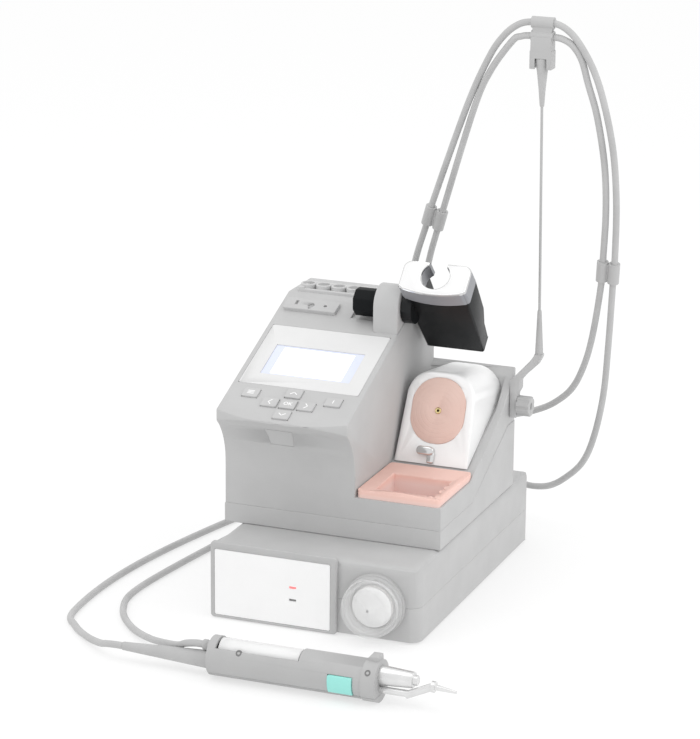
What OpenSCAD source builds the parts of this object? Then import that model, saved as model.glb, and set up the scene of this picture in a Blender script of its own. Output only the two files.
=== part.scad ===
// Soldering and desoldering station: a control unit with tool stand on top of a vacuum pump module,
// a cable stand, two cords and a desoldering handpiece that lies on the table.

/* [Pump module] */
// Width of the pump module
pump_w = 141.5; // [135:0.5:175]
// Depth of the pump module
pump_d = 218.3; // [205:0.1:265]
// Height of the pump module with its feet
pump_h = 50.3; // [42:0.1:62]
// Height of the seam between base tray and cover
pump_seam_z = 24.4; // [18:0.1:30]
// Distance from the control unit's left side to the pump module's left side
pump_inset = 9.4; // [0:0.1:15]
// Rounding of the pump module's edges
pump_round = 6; // [2:0.5:9]
// Height of the rubber feet
foot_h = 1.5; // [1:0.1:3]
// Width of the framed front panel
panel_w = 87; // [70:0.5:95]
// How far the panel frame stands in front of the cover
panel_proud = 3; // [2:0.1:6]

/* [Filter] */
// Outer radius of the clear filter bowl
bowl_r = 19; // [14:0.1:20]
// How far the bowl stands in front of its seat
bowl_len = 15.5; // [12:0.1:24]
// Wall of the bowl
bowl_wall = 2; // [1.5:0.1:3]
// Height of the bowl's axis
bowl_z = 24.7; // [22:0.1:27]

/* [Control unit] */
// Width of the control unit
unit_w = 150; // [146:0.5:182]
// Depth of the control unit
unit_d = 144.6; // [140:0.5:176]
// Setback of the control unit's front from the pump module's front
unit_y = 40; // [30:0.5:42]
// Wall of the shells
wall = 2.5; // [2:0.1:3]
// Height of the tray deck above the pump module
deck_h = 28.1; // [26:0.1:34]
// Height of the seam above the pump module at the front
seam_h = 13.1; // [10:0.1:15]
// Width of the control tower
tower_w = 90.4; // [89:0.1:92]
// Height of the control tower above the pump module
tower_h = 129.2; // [128:0.1:150]
// Height of the sloping face above the pump module, in the plane of the front
slope_h = 86.3; // [80:0.1:90]
// Tilt of the sloping face
slope_deg = 22; // [20:0.5:24]
// How far the chin reaches in front of the tower's foot
chin_reach = 21; // [18:0.5:24]
// Height above the pump module where the front starts to curve forward
scoop_h = 41.7; // [38:0.1:46]

/* [Display and keys] */
// Width of the display frame
display_w = 83.5; // [80:0.1:85]
// Length of the display frame up the slope
display_len = 63; // [58:0.1:66]
// Width of the display window
window_w = 62; // [50:0.1:66]
// Length of the display window
window_len = 31; // [24:0.1:34]
// Width of a key
key_w = 10.8; // [8:0.1:11]
// Length of a key
key_len = 8.6; // [6:0.1:9]
// Travel of a key
key_travel = 0.8; // [0.4:0.1:1]
// Gap round a key
key_gap = 0.2; // [0.15:0.05:0.4]

/* [Tool holder] */
// Width of the fork
fork_w = 46.7; // [42:0.1:48]
// Depth of the fork
fork_d = 20.8; // [19:0.1:24]
// Thickness of the fork
fork_t = 13; // [8:0.1:14]
// Radius of the fork's round notch
notch_r = 9.4; // [8:0.1:9.8]
// Width of the notch's mouth
notch_mouth = 12; // [10:0.1:14]
// Angle of the tool from vertical
holder_deg = 45.6; // [40:0.1:50]
// Length of the holder with its fork
holder_len = 76; // [60:0.5:80]
// Radius of the bracket knob's stud
stud_r = 3; // [2.5:0.1:4]
// Running clearance round the stud
stud_gap = 0.05; // [0.03:0.01:0.1]

/* [Tip cleaning] */
// Depth of the tip tray's rim from front to back
tray_d = 62.2; // [54:0.1:62.6]
// Height of the tip tray's rim
tray_rim = 5; // [3:0.1:6]
// Depth of the tray's tub below the deck
tray_deep = 16; // [8:0.5:20]
// Wall of the tray
tray_wall = 2; // [1.5:0.1:3]
// Width of the splash guard
guard_w = 51; // [46:0.1:51.4]
// Height of the splash guard along its face
guard_len = 61.5; // [54:0.1:62]
// Lean of the splash guard's face
guard_deg = 22; // [20:0.5:24]
// Width of the wiper membrane
membrane_w = 37; // [30:0.1:40]
// Height of the wiper membrane
membrane_len = 43.6; // [36:0.1:46]

/* [Cable stand] */
// Height of the top clip above the table
stand_top = 372; // [350:1:400]
// Radius of the spring rod
rod_r = 0.9; // [0.6:0.1:1.5]
// Outer diameter of both cords
cord_d = 4.5; // [4:0.1:5]

/* [Handpiece] */
// Length of the handpiece's body
hand_len = 110; // [105:0.5:125]
// Radius of the handpiece's body
hand_r = 12.4; // [11.5:0.1:13]
// Radius of the handpiece's front collar
collar_r = 13.2; // [13:0.1:14]
// Wall of the handpiece's shells
hand_wall = 2; // [1.5:0.1:2.2]
// Travel of the trigger
trigger_travel = 1.5; // [1:0.1:2]
// Radius of the solder collector
collector_r = 8; // [7:0.1:8.5]

/* [Hidden] */
$fn = 64;
eps = 0.01;
gap = 0.3;

// Control unit: heights above the table and depths from the pump module's front
unit_back = unit_y + unit_d;
tower_x = 1;
tower_right = tower_x + tower_w;
deck_z = pump_h + deck_h;
seam_z = pump_h + seam_h;
tower_top = pump_h + tower_h;
slope_z = pump_h + slope_h;
scoop_z = pump_h + scoop_h;
chin_y = unit_y - chin_reach;
chin_z = slope_z - chin_reach * tan(slope_deg);
scoop_turn = 2 * atan2(chin_reach, chin_z - scoop_z);
scoop_r = chin_reach / (1 - cos(scoop_turn));
brow_y = unit_y + (tower_top - slope_z) / tan(slope_deg);
brow_r = 150;
side_wall = 5.5;
bay_left = tower_right + 1;
bay_right = unit_w - side_wall;
bay_front = unit_y + 64.2;
bay_back = unit_back - 6;
bay_low = deck_z + 4.2;
bay_slope = 0.4395;
wall_top = [
    [unit_y, deck_z], [unit_y + 57, deck_z], [unit_y + 85, deck_z + 12.6],
    [unit_y + 121, deck_z + 32.2], [unit_y + 140, deck_z + 50.1], [unit_back, deck_z + 54.6]
];
seam_line = [
    [unit_y - 60, seam_z], [unit_y + 62, seam_z], [unit_y + 89, seam_z + 13], [unit_y + 131, seam_z + 32.6],
    [unit_back + 10, seam_z + 32.6]
];

// Display and keys, on the sloping face: x across, s up the slope from the plane of the front
face_mid = tower_x + tower_w / 2;
display_s = 14.3;
window_s = 26.1;
window_t = 1.2;
display_t = 1.6;
key_rise = 1.2;
key_deep = 2.6;
key_pitch_x = 12.6;
key_pitch_s = 11;
key_row_s = -2.8;
side_key_x = 28.5;
side_key_s = 4.5;
board_drop = 6.8;
board_t = 1.6;

// Tool holder
pivot_y = unit_y + 89;
pivot_z = pump_h + 132.7;
holder_x = tower_right + 2.1;
pivot_u = 2.2;
pivot_w = 29.2;
hub_r = 11;
ear_r = 14;
ear_w = 17.7;
knob_r = 9.6;
knob_len = 16;
trunnion_len = 5;
prong_round = 5.5;

// Tip cleaning
tray_x = tower_right + 0.8;
tray_w = unit_w - 1.5 - tray_x;
tray_y = unit_y + 1.2;
tub_x = tray_x + 8.3;
tub_w = 43.5;
tub_y = tray_y + 4.8;
tub_d = 38.5;
guard_x = (bay_left + bay_right) / 2;
guard_y = unit_y + 66.5;
guard_z = deck_z + tray_rim + 0.6;
guard_round = 17;
roof_deg = 8.3;
guard_wall = 1.5;
membrane_s = 35.7;
eyelet_r = 2.1;

// Filter
bowl_x = pump_inset + panel_w + 25.6;
seat_t = 3;
cone_r = bowl_r - bowl_wall - 3.7;

// Cable stand
arm_y = unit_back - 9;
arm_z = deck_z + 31.2;
arm_w = 8;
arm_t = 5;
rod_foot = [unit_w + 18.1, arm_y + 2.4, pump_h + 95.7];
rod_head = [unit_w + 15, arm_y + 2.4, stand_top - 27];
clip_high = stand_top - 4;
clip_low = stand_top - 13;
clip_half = 7.5;
cord_r = cord_d / 2;
clip_gap = 0.1;
clip_shell = 1.5;

// Rear fittings
gland_x = 118;
gland_z = 84;
gland_len = 14;
barb_x = 100;
barb_z = 30;
barb_len = 14;
panel_z = pump_h + 3.7;
panel_top = seam_z + 29;
inlet_x = 40;
rocker_x = 78;
socket_z = pump_h + 21;

// Handpiece, along x, with its axis above the table by the collar's radius
hand_x = 51;
hand_y = -91.5;
hand_z = collar_r;
hand_seam = 5;
boot_len = 61;
boot_z = 9.5;
nipple_z = 18.5;
nipple_len = 6;
collar_len = 9;
collector_x = 6;
collector_len = 53;
collector_z = 17.2;
trigger_x = 80;
trigger_w = 15.5;
barrel_len = 21;
barrel_z = 17;
tip_reach = 49;
tip_aside = 3;

// Centre of the object's base, without the cords
origin_x = (hand_x - boot_len + hand_x + hand_len + tip_reach) / 2;
origin_y = (hand_y - collar_r + pump_d + barb_len) / 2;

// The cords follow the case: what hangs on the cable stand moves with its side, its back and its height,
// and what hangs low behind the pump module moves with that module's back
side_shift = unit_w - 150;
back_shift = unit_back - 184.6;
low_shift = pump_d - 218.3;
top_shift = stand_top - 372;
function carried(route) = [for (p = route) p + [
    p[0] > 140 || p[2] > 145 ? side_shift : 0,
    p[1] > 200 && p[2] < 60 ? low_shift : p[1] > 150 ? back_shift : 0,
    p[2] > 300 ? top_shift : 0
]];

cable_route = concat([[gland_x, unit_back + gland_len, gland_z]], carried([
    [118, 206, 84], [120.7, 216.3, 84], [128.3, 223.8, 85],
    [138.5, 226.8, 87], [150, 227.5, 90.5], [164, 225, 98], [178, 221, 111], [188, 215, 130], [196, 207, 155],
    [204, 196, 193], [206, 192, 213], [208, 188, 245], [207, 185, 276], [202, 182, 308],
    [195.8, 179.8, 330], [191.4, 178.9, 345], [185.6, 178.2, 354], [179.3, 178, 357.8], [172.5, 178, 359],
    [157.5, 178, 359], [150, 178.2, 357.9], [143.8, 179.2, 354.2], [128, 184, 333], [115, 190, 306],
    [89, 206, 232], [83, 210, 214], [76, 214, 191], [67, 221, 150], [57, 230, 100], [47, 237, 52],
    [34, 240, 20], [14, 240, 5], [-8, 234, 2.4], [-30, 214, 2.4], [-46, 187, 2.4], [-67, 101, 2.4],
    [-76, 28, 2.4], [-73, -35, 2.4], [-61, -56, 2.4], [-44, -73, 3.5], [-29, -86, 6.6], [-22, -90.2, 8.7],
    [hand_x - boot_len - 6, hand_y, boot_z], [hand_x - boot_len, hand_y, boot_z]
]));
hose_route = concat([[barb_x, pump_d + barb_len, barb_z]], carried([
    [100, 237, 30], [102.5, 246.5, 30], [109.5, 253.5, 29.5],
    [119, 256, 29], [130, 253.5, 28.5], [143, 248.5, 28.5], [157, 244, 32], [170, 239, 41], [184, 232, 56],
    [194, 224, 78], [203, 213, 112], [208, 204, 150], [212, 196, 192], [214, 192, 212], [215, 188, 250],
    [213, 184, 285], [207, 181, 316], [200, 179, 338], [191, 178.2, 354], [182.5, 178, 363.5],
    [172.5, 178, 368], [157.5, 178, 368], [148, 178.3, 365.5], [138, 180, 357.5], [127, 183, 342],
    [110, 190, 307], [81, 206, 235], [75, 210, 217], [67, 213, 193], [56, 218, 150], [45, 222, 100],
    [35, 225, 55], [23, 227, 22], [4, 225, 5], [-14, 212, 2.4], [-28, 186, 2.4], [-43, 104, 2.4],
    [-53, 20, 2.4], [-46, -17, 2.4], [-27, -45, 3], [-4, -65, 5.5], [22, -83.6, 12.2],
    [31, -88.4, 16.4], [hand_x - nipple_len - 6, hand_y + 1, nipple_z],
    [hand_x - nipple_len, hand_y + 1, nipple_z]
]));
right_clip = [cable_route[10], cable_route[11], hose_route[13], hose_route[14]];
left_clip = [cable_route[25], cable_route[26], hose_route[27], hose_route[28]];

// Helpers
module at_station() {
    translate([-origin_x, -origin_y, 0]) children();
}

module rounded_rect(w, d, r) {
    translate([r, 0]) square([w - 2 * r, d]);
    translate([0, r]) square([w, d - 2 * r]);
    for (x = [r, w - r], y = [r, d - r]) translate([x, y]) circle(r);
}

module arched(w, h, r) {
    square([w, h - r]);
    translate([r, 0]) square([w - 2 * r, h]);
    for (x = [r, w - r]) translate([x, h - r]) circle(r);
}

// Box with rounded upright and top edges, cut from three crossing outlines; its left front corner is tight
module soft_box(w, d, h, r_plan, r_top) {
    intersection() {
        linear_extrude(h) {
            rounded_rect(w, d, r_plan);
            rounded_rect(w / 2, d / 2, 2);
        }
        translate([0, d, 0]) rotate([90, 0, 0]) linear_extrude(d) arched(w, h, r_top);
        rotate([90, 0, 90]) linear_extrude(w) arched(d, h, r_top);
    }
}

// Extrudes an outline drawn in (y, z) from x to x + w
module across(x, w) {
    translate([x, 0, 0]) rotate([90, 0, 90]) linear_extrude(w) children();
}

module plate_y(x, y, z, w, t, h, r) {
    translate([x, y + t, z]) rotate([90, 0, 0]) linear_extrude(t) rounded_rect(w, h, r);
}

module bar_y(x, y, z, r, len) {
    translate([x, y, z]) rotate([-90, 0, 0]) cylinder(h = len, r = r);
}

module bar_x(x, y, z, r, len) {
    translate([x, y, z]) rotate([0, 90, 0]) cylinder(h = len, r = r);
}

// A frame on the sloping face: x across, y up the slope, z out of it
module on_slope(x, s) {
    translate([x, unit_y, slope_z]) rotate([slope_deg, 0, 0]) translate([0, s, 0]) children();
}

// A frame on the splash guard's face: x across, y up the face, z out of it
module on_guard(s) {
    translate([guard_x, guard_y, guard_z]) rotate([90 - guard_deg, 0, 0]) translate([0, s, 0]) children();
}

// A frame on the holder: x across, y towards the fork's open side, z out of its top, origin at the pivot
module on_holder() {
    translate([holder_x, pivot_y, pivot_z]) rotate([holder_deg, 0, 0]) translate([0, -pivot_u, pivot_w])
        children();
}

function unit(v) = v / norm(v);
function across_of(n, t) = unit(n - (n * t) * t);
function tangent(p, i) = unit(p[min(i + 1, len(p) - 1)] - p[max(i - 1, 0)]);
function transported(p, i, n) = i == len(p) ? [] :
    let (m = across_of(n, tangent(p, i))) concat([m], transported(p, i + 1, m));

module swept_tube(route, r, sides = 8) {
    n = len(route);
    normals = transported(route, 0, [1, 0, 0.1]);
    points = [for (i = [0:n - 1]) let (t = tangent(route, i), a = normals[i], b = cross(t, a))
        for (k = [0:sides - 1]) route[i] + r * (cos(360 * k / sides) * a + sin(360 * k / sides) * b)];
    caps = [[for (k = [sides - 1:-1:0]) k], [for (k = [0:sides - 1]) (n - 1) * sides + k]];
    walls = [for (i = [0:n - 2], k = [0:sides - 1]) let (m = (k + 1) % sides)
        each [[i * sides + k, i * sides + m, (i + 1) * sides + m],
            [i * sides + k, (i + 1) * sides + m, (i + 1) * sides + k]]];
    polyhedron(points, concat(caps, walls));
}

// Pump module
module pump_outer(inset) {
    translate([pump_inset + inset, inset, foot_h + inset])
        soft_box(pump_w - 2 * inset, pump_d - 2 * inset, pump_h - foot_h - 2 * inset, pump_round + 2 - inset,
            pump_round - inset);
}

module pump_shell(low, high) {
    difference() {
        intersection() {
            pump_outer(0);
            translate([0, -eps, low]) cube([pump_inset + pump_w + 1, pump_d + 1, high - low]);
        }
        pump_outer(wall);
        bar_y(bowl_x, -1, bowl_z, 8 + gap, wall + 2);
        bar_y(barb_x, pump_d - wall - 1, barb_z, 4 + gap, wall + 2);
        for (x = foot_places_x(), y = foot_places_y())
            translate([x, y, -eps]) cylinder(h = foot_h + wall + 1, r = 1.7);
    }
}

function foot_places_x() = [pump_inset + 16, pump_inset + pump_w - 16];
function foot_places_y() = [18, pump_d - 18];

module pump_base() {
    color("dimgray") at_station() pump_shell(foot_h, pump_seam_z);
}

module pump_cover() {
    color("dimgray") at_station() pump_shell(pump_seam_z, pump_h + 1);
}

module panel_frame() {
    color("black") at_station() difference() {
        plate_y(pump_inset, -panel_proud, frame_z, panel_w, panel_proud - eps, pump_h + 1, 2.5);
        plate_y(pane_x, -panel_proud - 1, pane_z, pane_w, 3, pane_h, 1.5);
        plate_y(pane_x + 5, -panel_proud - 1, pane_z + 5, pane_w - 10, panel_proud + 2, pane_h - 10, 2);
    }
}

module front_panel() {
    color("white") at_station() difference() {
        plate_y(pane_x + 0.1, -panel_proud + 0.4, pane_z + 0.1, pane_w - 0.2, 1.6, pane_h - 0.2, 1.4);
        for (z = light_heights())
            translate([light_x - 2.4, -panel_proud - 1, z - 0.65]) cube([4.8, 4, 1.3]);
    }
}

frame_z = foot_h - 0.9;
pane_x = pump_inset + 2.8;
pane_z = frame_z + 1.9;
pane_w = panel_w - 7.3;
pane_h = pump_h - 5.7;
light_x = pump_inset + 56.9;
function light_heights() = [19.7, 28.1];

module status_lights() {
    color("red") at_station() for (z = light_heights())
        translate([light_x - 2.3, -panel_proud + 0.3, z - 0.55]) cube([4.6, 1.7, 1.1]);
}

module base_feet() {
    color("black") at_station() for (x = foot_places_x(), y = foot_places_y())
        translate([x, y, 0]) difference() {
            cylinder(h = foot_h, r = 6);
            translate([0, 0, -eps]) cylinder(h = foot_h + 1, r = 3.2);
        }
}

module filter_seat() {
    color("black") at_station() difference() {
        union() {
            bar_y(bowl_x, -seat_t, bowl_z, bowl_r + 1, seat_t - eps);
            bar_y(bowl_x, -seat_t, bowl_z, 8, seat_t + 9);
        }
        bar_y(bowl_x, -seat_t - 1, bowl_z, 5, seat_t + 12);
    }
}

module filter_bowl() {
    front = -seat_t - bowl_len;
    color("lightblue") at_station() difference() {
        bar_y(bowl_x, front, bowl_z, bowl_r, bowl_len - gap);
        bar_y(bowl_x, front + bowl_wall, bowl_z, bowl_r - bowl_wall, bowl_len);
    }
}

module filter_cone() {
    color("silver") at_station() translate([bowl_x, -seat_t - 3.2, bowl_z]) rotate([90, 0, 0])
        cylinder(h = bowl_len - bowl_wall - 3.4, r1 = cone_r, r2 = 0.6);
}

module filter_element() {
    color("white") at_station() difference() {
        bar_y(bowl_x, -seat_t - 3, bowl_z, cone_r, 2.8);
        bar_y(bowl_x, -seat_t - 4, bowl_z, 5, 5);
    }
}

module bowl_seal() {
    color("black") at_station() translate([bowl_x, -seat_t - 1.2, bowl_z]) rotate([90, 0, 0])
        rotate_extrude() translate([bowl_r - bowl_wall - 1.2, 0]) circle(1, $fn = 32);
}

module vacuum_pump() {
    color("gray") at_station() difference() {
        union() {
            translate([pump_inset + 20, 60, foot_h + wall]) cube([46, 34, 38]);
            bar_y(pump_inset + 43, 94, foot_h + wall + 19, 17, 55);
        }
        bar_y(pump_inset + 43, 75, foot_h + wall + 19, 12.5, 19 + eps);
        bar_y(pump_inset + 43, 93, foot_h + wall + 19, 2.5 + stud_gap, 50);
    }
}

module pump_shaft() {
    color("silver") at_station() {
        bar_y(pump_inset + 43, 80, foot_h + wall + 19, 2.5, 62);
        bar_y(pump_inset + 45, 82, foot_h + wall + 19, 8, 8);
    }
}

module hose_barb() {
    color("black") at_station() difference() {
        union() {
            bar_y(barb_x, pump_d - wall - 4, barb_z, 4, barb_len + wall + 4);
            bar_y(barb_x, pump_d + eps, barb_z, 7, 3);
            for (k = [0:2]) translate([barb_x, pump_d + 4 + 3 * k, barb_z]) rotate([-90, 0, 0])
                cylinder(h = 2.6, r1 = 5, r2 = 4.2);
        }
        bar_y(barb_x, pump_d - wall - 5, barb_z, 1.5, barb_len + wall + 4);
    }
}

// Control unit shells
module tower_outline(inset) {
    difference() {
        polygon([
            [chin_y + inset, pump_h + inset], [unit_back - inset, pump_h + inset],
            [unit_back - inset, tower_top - inset], [brow_y, tower_top - inset],
            [chin_y + inset, chin_z + (inset * tan(slope_deg)) - inset / cos(slope_deg)]
        ]);
        translate([unit_y - scoop_r, scoop_z]) circle(scoop_r + inset, $fn = 128);
        translate([-60, -10]) square([unit_y + 60 + inset, scoop_z + 10]);
    }
}

module tower_solid(inset) {
    intersection() {
        across(tower_x + inset, tower_w - 2 * inset) tower_outline(inset);
        union() {
            translate([face_mid, chin_y + brow_r + inset, 0]) cylinder(h = 300, r = brow_r, $fn = 180);
            translate([0, unit_y + 60, 0]) cube([unit_w, unit_d, 300]);
        }
    }
}

module deck_solid() {
    across(tower_right - 1, unit_w - tower_right + 1)
        polygon(concat([[unit_back, pump_h], [unit_y, pump_h]], wall_top));
}

module deck_hollow() {
    across(tower_right - wall - 1, unit_w - wall - tower_right + wall + 1) polygon([
        [unit_back - wall, pump_h - 1], [unit_y + wall, pump_h - 1], [unit_y + wall, deck_z - wall],
        [bay_front + 1, deck_z - wall],
        [bay_back, bay_low + (bay_back - bay_front) * bay_slope - wall - 0.3],
        [unit_back - wall, bay_low + (bay_back - bay_front) * bay_slope - wall - 0.3]
    ]);
}

module below_seam() {
    across(-1, unit_w + 2)
        polygon(concat([[unit_back + 10, pump_h - 5], [unit_y - 60, pump_h - 5]], seam_line));
}

module unit_solid() {
    tower_solid(0);
    deck_solid();
    translate([0, unit_y, pump_h]) linear_extrude(seam_h - 1) rounded_rect(unit_w, unit_d, 2);
}

module unit_hollow() {
    tower_solid(wall);
    deck_hollow();
    translate([tower_x + wall, unit_y + wall, pump_h + wall])
        cube([unit_w - tower_x - 2 * wall, unit_d - 2 * wall, seam_h]);
}

module base_shell() {
    color("dimgray") at_station() difference() {
        intersection() {
            unit_solid();
            below_seam();
        }
        intersection() {
            unit_hollow();
            translate([0, 0, pump_h + wall]) cube([unit_w, 400, 200]);
        }
        plate_y(rear_panel_x, unit_back - wall - 1, panel_z, rear_panel_w, wall + 2, panel_top - panel_z, 2);
    }
}

rear_panel_x = 8;
rear_panel_w = unit_w - 16;

module upper_shell() {
    color("dimgray") at_station() difference() {
        unit_solid();
        below_seam();
        difference() {
            unit_hollow();
            bar_x(ear_x - knob_len - 6, pivot_y, pivot_z, knob_r + 4.6, knob_len + 6);
        }
        across(bay_left, bay_right - bay_left) polygon([
            [bay_front, bay_low], [bay_back, bay_low + (bay_back - bay_front) * bay_slope],
            [bay_back, tower_top], [bay_front, tower_top]
        ]);
        translate([tub_x - gap, tub_y - gap, pump_h]) cube([tub_w + 2 * gap, tub_d + 2 * gap, tower_h]);
        on_slope(face_mid - display_w / 2, display_s) translate([0, 0, -display_t])
            cube([display_w, display_len, display_t + 5]);
        on_slope(face_mid - window_w / 2 + 1, window_s + 1) translate([0, 0, -wall - 1])
            cube([window_w - 2, window_len - 2, wall + 5]);
        for (k = key_places()) on_slope(k[0] - key_w / 2 - key_gap, k[1] - key_len / 2 - key_gap)
            translate([0, 0, -4]) cube([key_w + 2 * key_gap, key_len + 2 * key_gap, 9]);
        port_cover_solid(0.15);
        translate([tray_x - gap, tray_y - gap, deck_z]) cube([tray_w + 2 * gap, tray_d + 2 * gap, tower_h]);
        bar_x(ear_x - knob_len - 4, pivot_y, pivot_z, knob_r + 2.4, knob_len + 4);
        bar_x(bay_right - 3, arm_y, arm_z, stud_r + stud_gap, side_wall + 5);
    }
}

module display_frame() {
    color("gray") at_station() on_slope(face_mid - display_w / 2, display_s) difference() {
        translate([0.2, 0.2, -display_t]) linear_extrude(display_t)
            rounded_rect(display_w - 0.4, display_len - 0.4, 1.5);
        translate([(display_w - window_w) / 2, window_s - display_s, -display_t - 1])
            cube([window_w, window_len, display_t + 2]);
    }
}

module display_window() {
    color("lightblue") at_station() on_slope(face_mid - window_w / 2, window_s)
        translate([0.1, 0.1, -display_t]) cube([window_w - 0.2, window_len - 0.2, window_t]);
}

module front_board() {
    color("green") at_station() {
        on_slope(face_mid - 38, -6) translate([0, 0, -board_drop - board_t]) cube([76, 74, board_t]);
        on_slope(face_mid - window_w / 2 + 2, window_s + 1) translate([0, 0, -board_drop])
            cube([window_w - 4, window_len - 2, board_drop - wall - 1.2]);
    }
}

function key_places() = [
    [face_mid - side_key_x, side_key_s], [face_mid, key_row_s + key_pitch_s],
    [face_mid - key_pitch_x, key_row_s], [face_mid, key_row_s], [face_mid + key_pitch_x, key_row_s],
    [face_mid, key_row_s - key_pitch_s], [face_mid + side_key_x, side_key_s]
];

module key(index) {
    place = key_places()[index];
    color("lightgray") at_station() on_slope(place[0] - key_w / 2, place[1] - key_len / 2)
        translate([0, 0, -key_deep]) linear_extrude(key_deep + key_rise) rounded_rect(key_w, key_len, 1.2);
}

module key_menu() key(0);
module key_up() key(1);
module key_left() key(2);
module key_enter() key(3);
module key_right() key(4);
module key_down() key(5);
module key_info() key(6);

module port_cover_solid(grow) {
    low = scoop_z + 16.5 - grow;
    intersection() {
        translate([0, unit_y - scoop_r, scoop_z]) rotate([0, 90, 0]) difference() {
            cylinder(h = unit_w, r = scoop_r + 1.4, $fn = 128);
            translate([0, 0, -1]) cylinder(h = unit_w + 2, r = scoop_r - 0.1, $fn = 128);
        }
        translate([face_mid - 3.5, 0, low]) rotate([-90, 0, 0]) translate([0, 0, 1]) linear_extrude(unit_y)
            polygon([
                [-8 - grow, 0], [8 + grow, 0], [9.5 + grow, -12 - 2 * grow], [-9.5 - grow, -12 - 2 * grow]
            ]);
    }
}

module port_cover() {
    color("dimgray") at_station() port_cover_solid(0);
}

module extractor_plate() {
    color("dimgray") at_station() on_slope(tower_x + 4, 93.5) difference() {
        translate([0, 0, eps]) linear_extrude(2.5) rounded_rect(37.5, 11.5, 1.5);
        translate([7, 4.5, 0.8]) cube([1.8, 4.5, 4]);
        translate([18.6, 5.5, 0.8]) cylinder(h = 4, r = 2.4);
        translate([18.6, 2.4, 0.8]) cylinder(h = 4, r = 1.2);
        translate([28.6, 5.8, 0.8]) cylinder(h = 4, r = 1.2);
    }
}

rack_x = tower_x + 5.5;
rack_w = 49;
rack_y = unit_y + 108;
well_pitch = 10.9;
well_r = 4;

module cartridge_rack() {
    color("dimgray") at_station() difference() {
        translate([rack_x, rack_y, tower_top + eps]) cube([rack_w, 16, 4.8]);
        for (k = [0:3]) translate([rack_x + 5.5 + well_pitch * k, rack_y + 7.5, tower_top - 1])
            cylinder(h = 8, r = well_r);
    }
}

// Tool holder
ear_x = tower_right - 0.2 - ear_w;

module holder_bracket() {
    color("dimgray") at_station() difference() {
        across(ear_x, ear_w) difference() {
            union() {
                translate([pivot_y, pivot_z]) circle(ear_r);
                translate([pivot_y - ear_r, slope_z]) square([2 * ear_r, pivot_z - slope_z]);
            }
            polygon([
                [pivot_y - 50, slope_top(pivot_y - 50)], [pivot_y + 50, slope_top(pivot_y + 50)],
                [pivot_y + 50, 0], [pivot_y - 50, 0]
            ]);
        }
        bar_x(ear_x - 1, pivot_y, pivot_z, stud_r + stud_gap, ear_w + 2);
    }
}

function slope_top(y) = slope_z + (y - unit_y) * tan(slope_deg) + 0.02;

module bracket_knob() {
    color("black") at_station() {
        translate([ear_x - gap - knob_len, pivot_y, pivot_z]) rotate([0, 90, 0]) rotate(22.5)
            cylinder(h = knob_len, r = knob_r, $fn = 8);
        bar_x(ear_x - gap - 1, pivot_y, pivot_z, stud_r, ear_w - trunnion_len);
    }
}

module holder_body() {
    taper = 3.4;
    end_bow = 4;
    end_r = (pow(fork_w / 2 - taper, 2) + end_bow * end_bow) / (2 * end_bow);
    color("black") at_station() difference() {
        union() {
            on_holder() translate([0, 0, -holder_len]) intersection() {
                rotate([90, 0, 90]) linear_extrude(fork_w) polygon([
                    [0.6, holder_len - fork_t], [-2.6, 4], [-0.5, 0.6], [3, 0], [9, 2], [11.5, 19],
                    [17.2, 29], [fork_d - 0.8, holder_len - fork_t]
                ]);
                rotate([90, 0, 0]) translate([0, 0, -40]) linear_extrude(80) intersection() {
                    polygon([
                        [taper, 0], [fork_w - taper, 0], [fork_w - 0.8, holder_len], [0.8, holder_len]
                    ]);
                    union() {
                        translate([fork_w / 2, end_r]) circle(end_r, $fn = 180);
                        translate([0, end_bow]) square([fork_w, holder_len]);
                    }
                }
            }
            bar_x(tower_right + 0.4, pivot_y, pivot_z, hub_r, 7);
            bar_x(tower_right - trunnion_len, pivot_y, pivot_z, stud_r, trunnion_len + 1);
        }
        on_holder() translate([fork_w / 2, notch_s(), -holder_len - 1]) {
            cylinder(h = holder_len + 2, r = notch_r + 0.8);
            translate([-notch_r - 0.8, 0, 0]) cube([2 * notch_r + 1.6, 40, holder_len + 2]);
        }
    }
}

function notch_s() = fork_d / 2 + 0.6;

module holder_fork() {
    bow = 3.4;
    bow_r = (fork_w * fork_w / 4 + bow * bow) / (2 * bow);
    color("silver") at_station() on_holder() translate([0, 0, -fork_t]) linear_extrude(fork_t - eps)
    difference() {
        union() {
            rounded_rect(fork_w, fork_d / 2, 2);
            translate([0, 2]) arched(fork_w, fork_d - 2, prong_round);
            intersection() {
                translate([fork_w / 2, bow_r - bow]) circle(bow_r, $fn = 180);
                translate([2, -bow - 1]) square([fork_w - 4, fork_d]);
            }
        }
        translate([fork_w / 2, notch_s()]) circle(notch_r);
        translate([fork_w / 2 - notch_mouth / 2, notch_s()]) square([notch_mouth, fork_d]);
    }
}

// Tip cleaning
module tip_tray() {
    color("orangered") at_station() difference() {
        union() {
            translate([tray_x, tray_y, deck_z + 0.05]) linear_extrude(tray_rim)
                rounded_rect(tray_w, tray_d, 3);
            translate([tub_x, tub_y, deck_z - tray_deep]) cube([tub_w, tub_d, tray_deep + 1]);
        }
        translate([tub_x + tray_wall, tub_y + tray_wall, deck_z - tray_deep + tray_wall])
            cube([tub_w - 2 * tray_wall, tub_d - 2 * tray_wall, tray_deep + tray_rim]);
        for (k = [0:4]) translate([tub_x + 6 + 8 * k, tub_y + tray_wall, deck_z + 1]) rotate(45)
            translate([-1.2, -1.2, 0]) cube([2.4, 2.4, tray_rim]);
        for (k = [0:2]) translate([tub_x + tub_w - tray_wall, tub_y + 9 + 9 * k, deck_z + 1]) rotate(45)
            translate([-1.8, -1.8, 0]) cube([3.6, 3.6, tray_rim]);
    }
}

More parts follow.
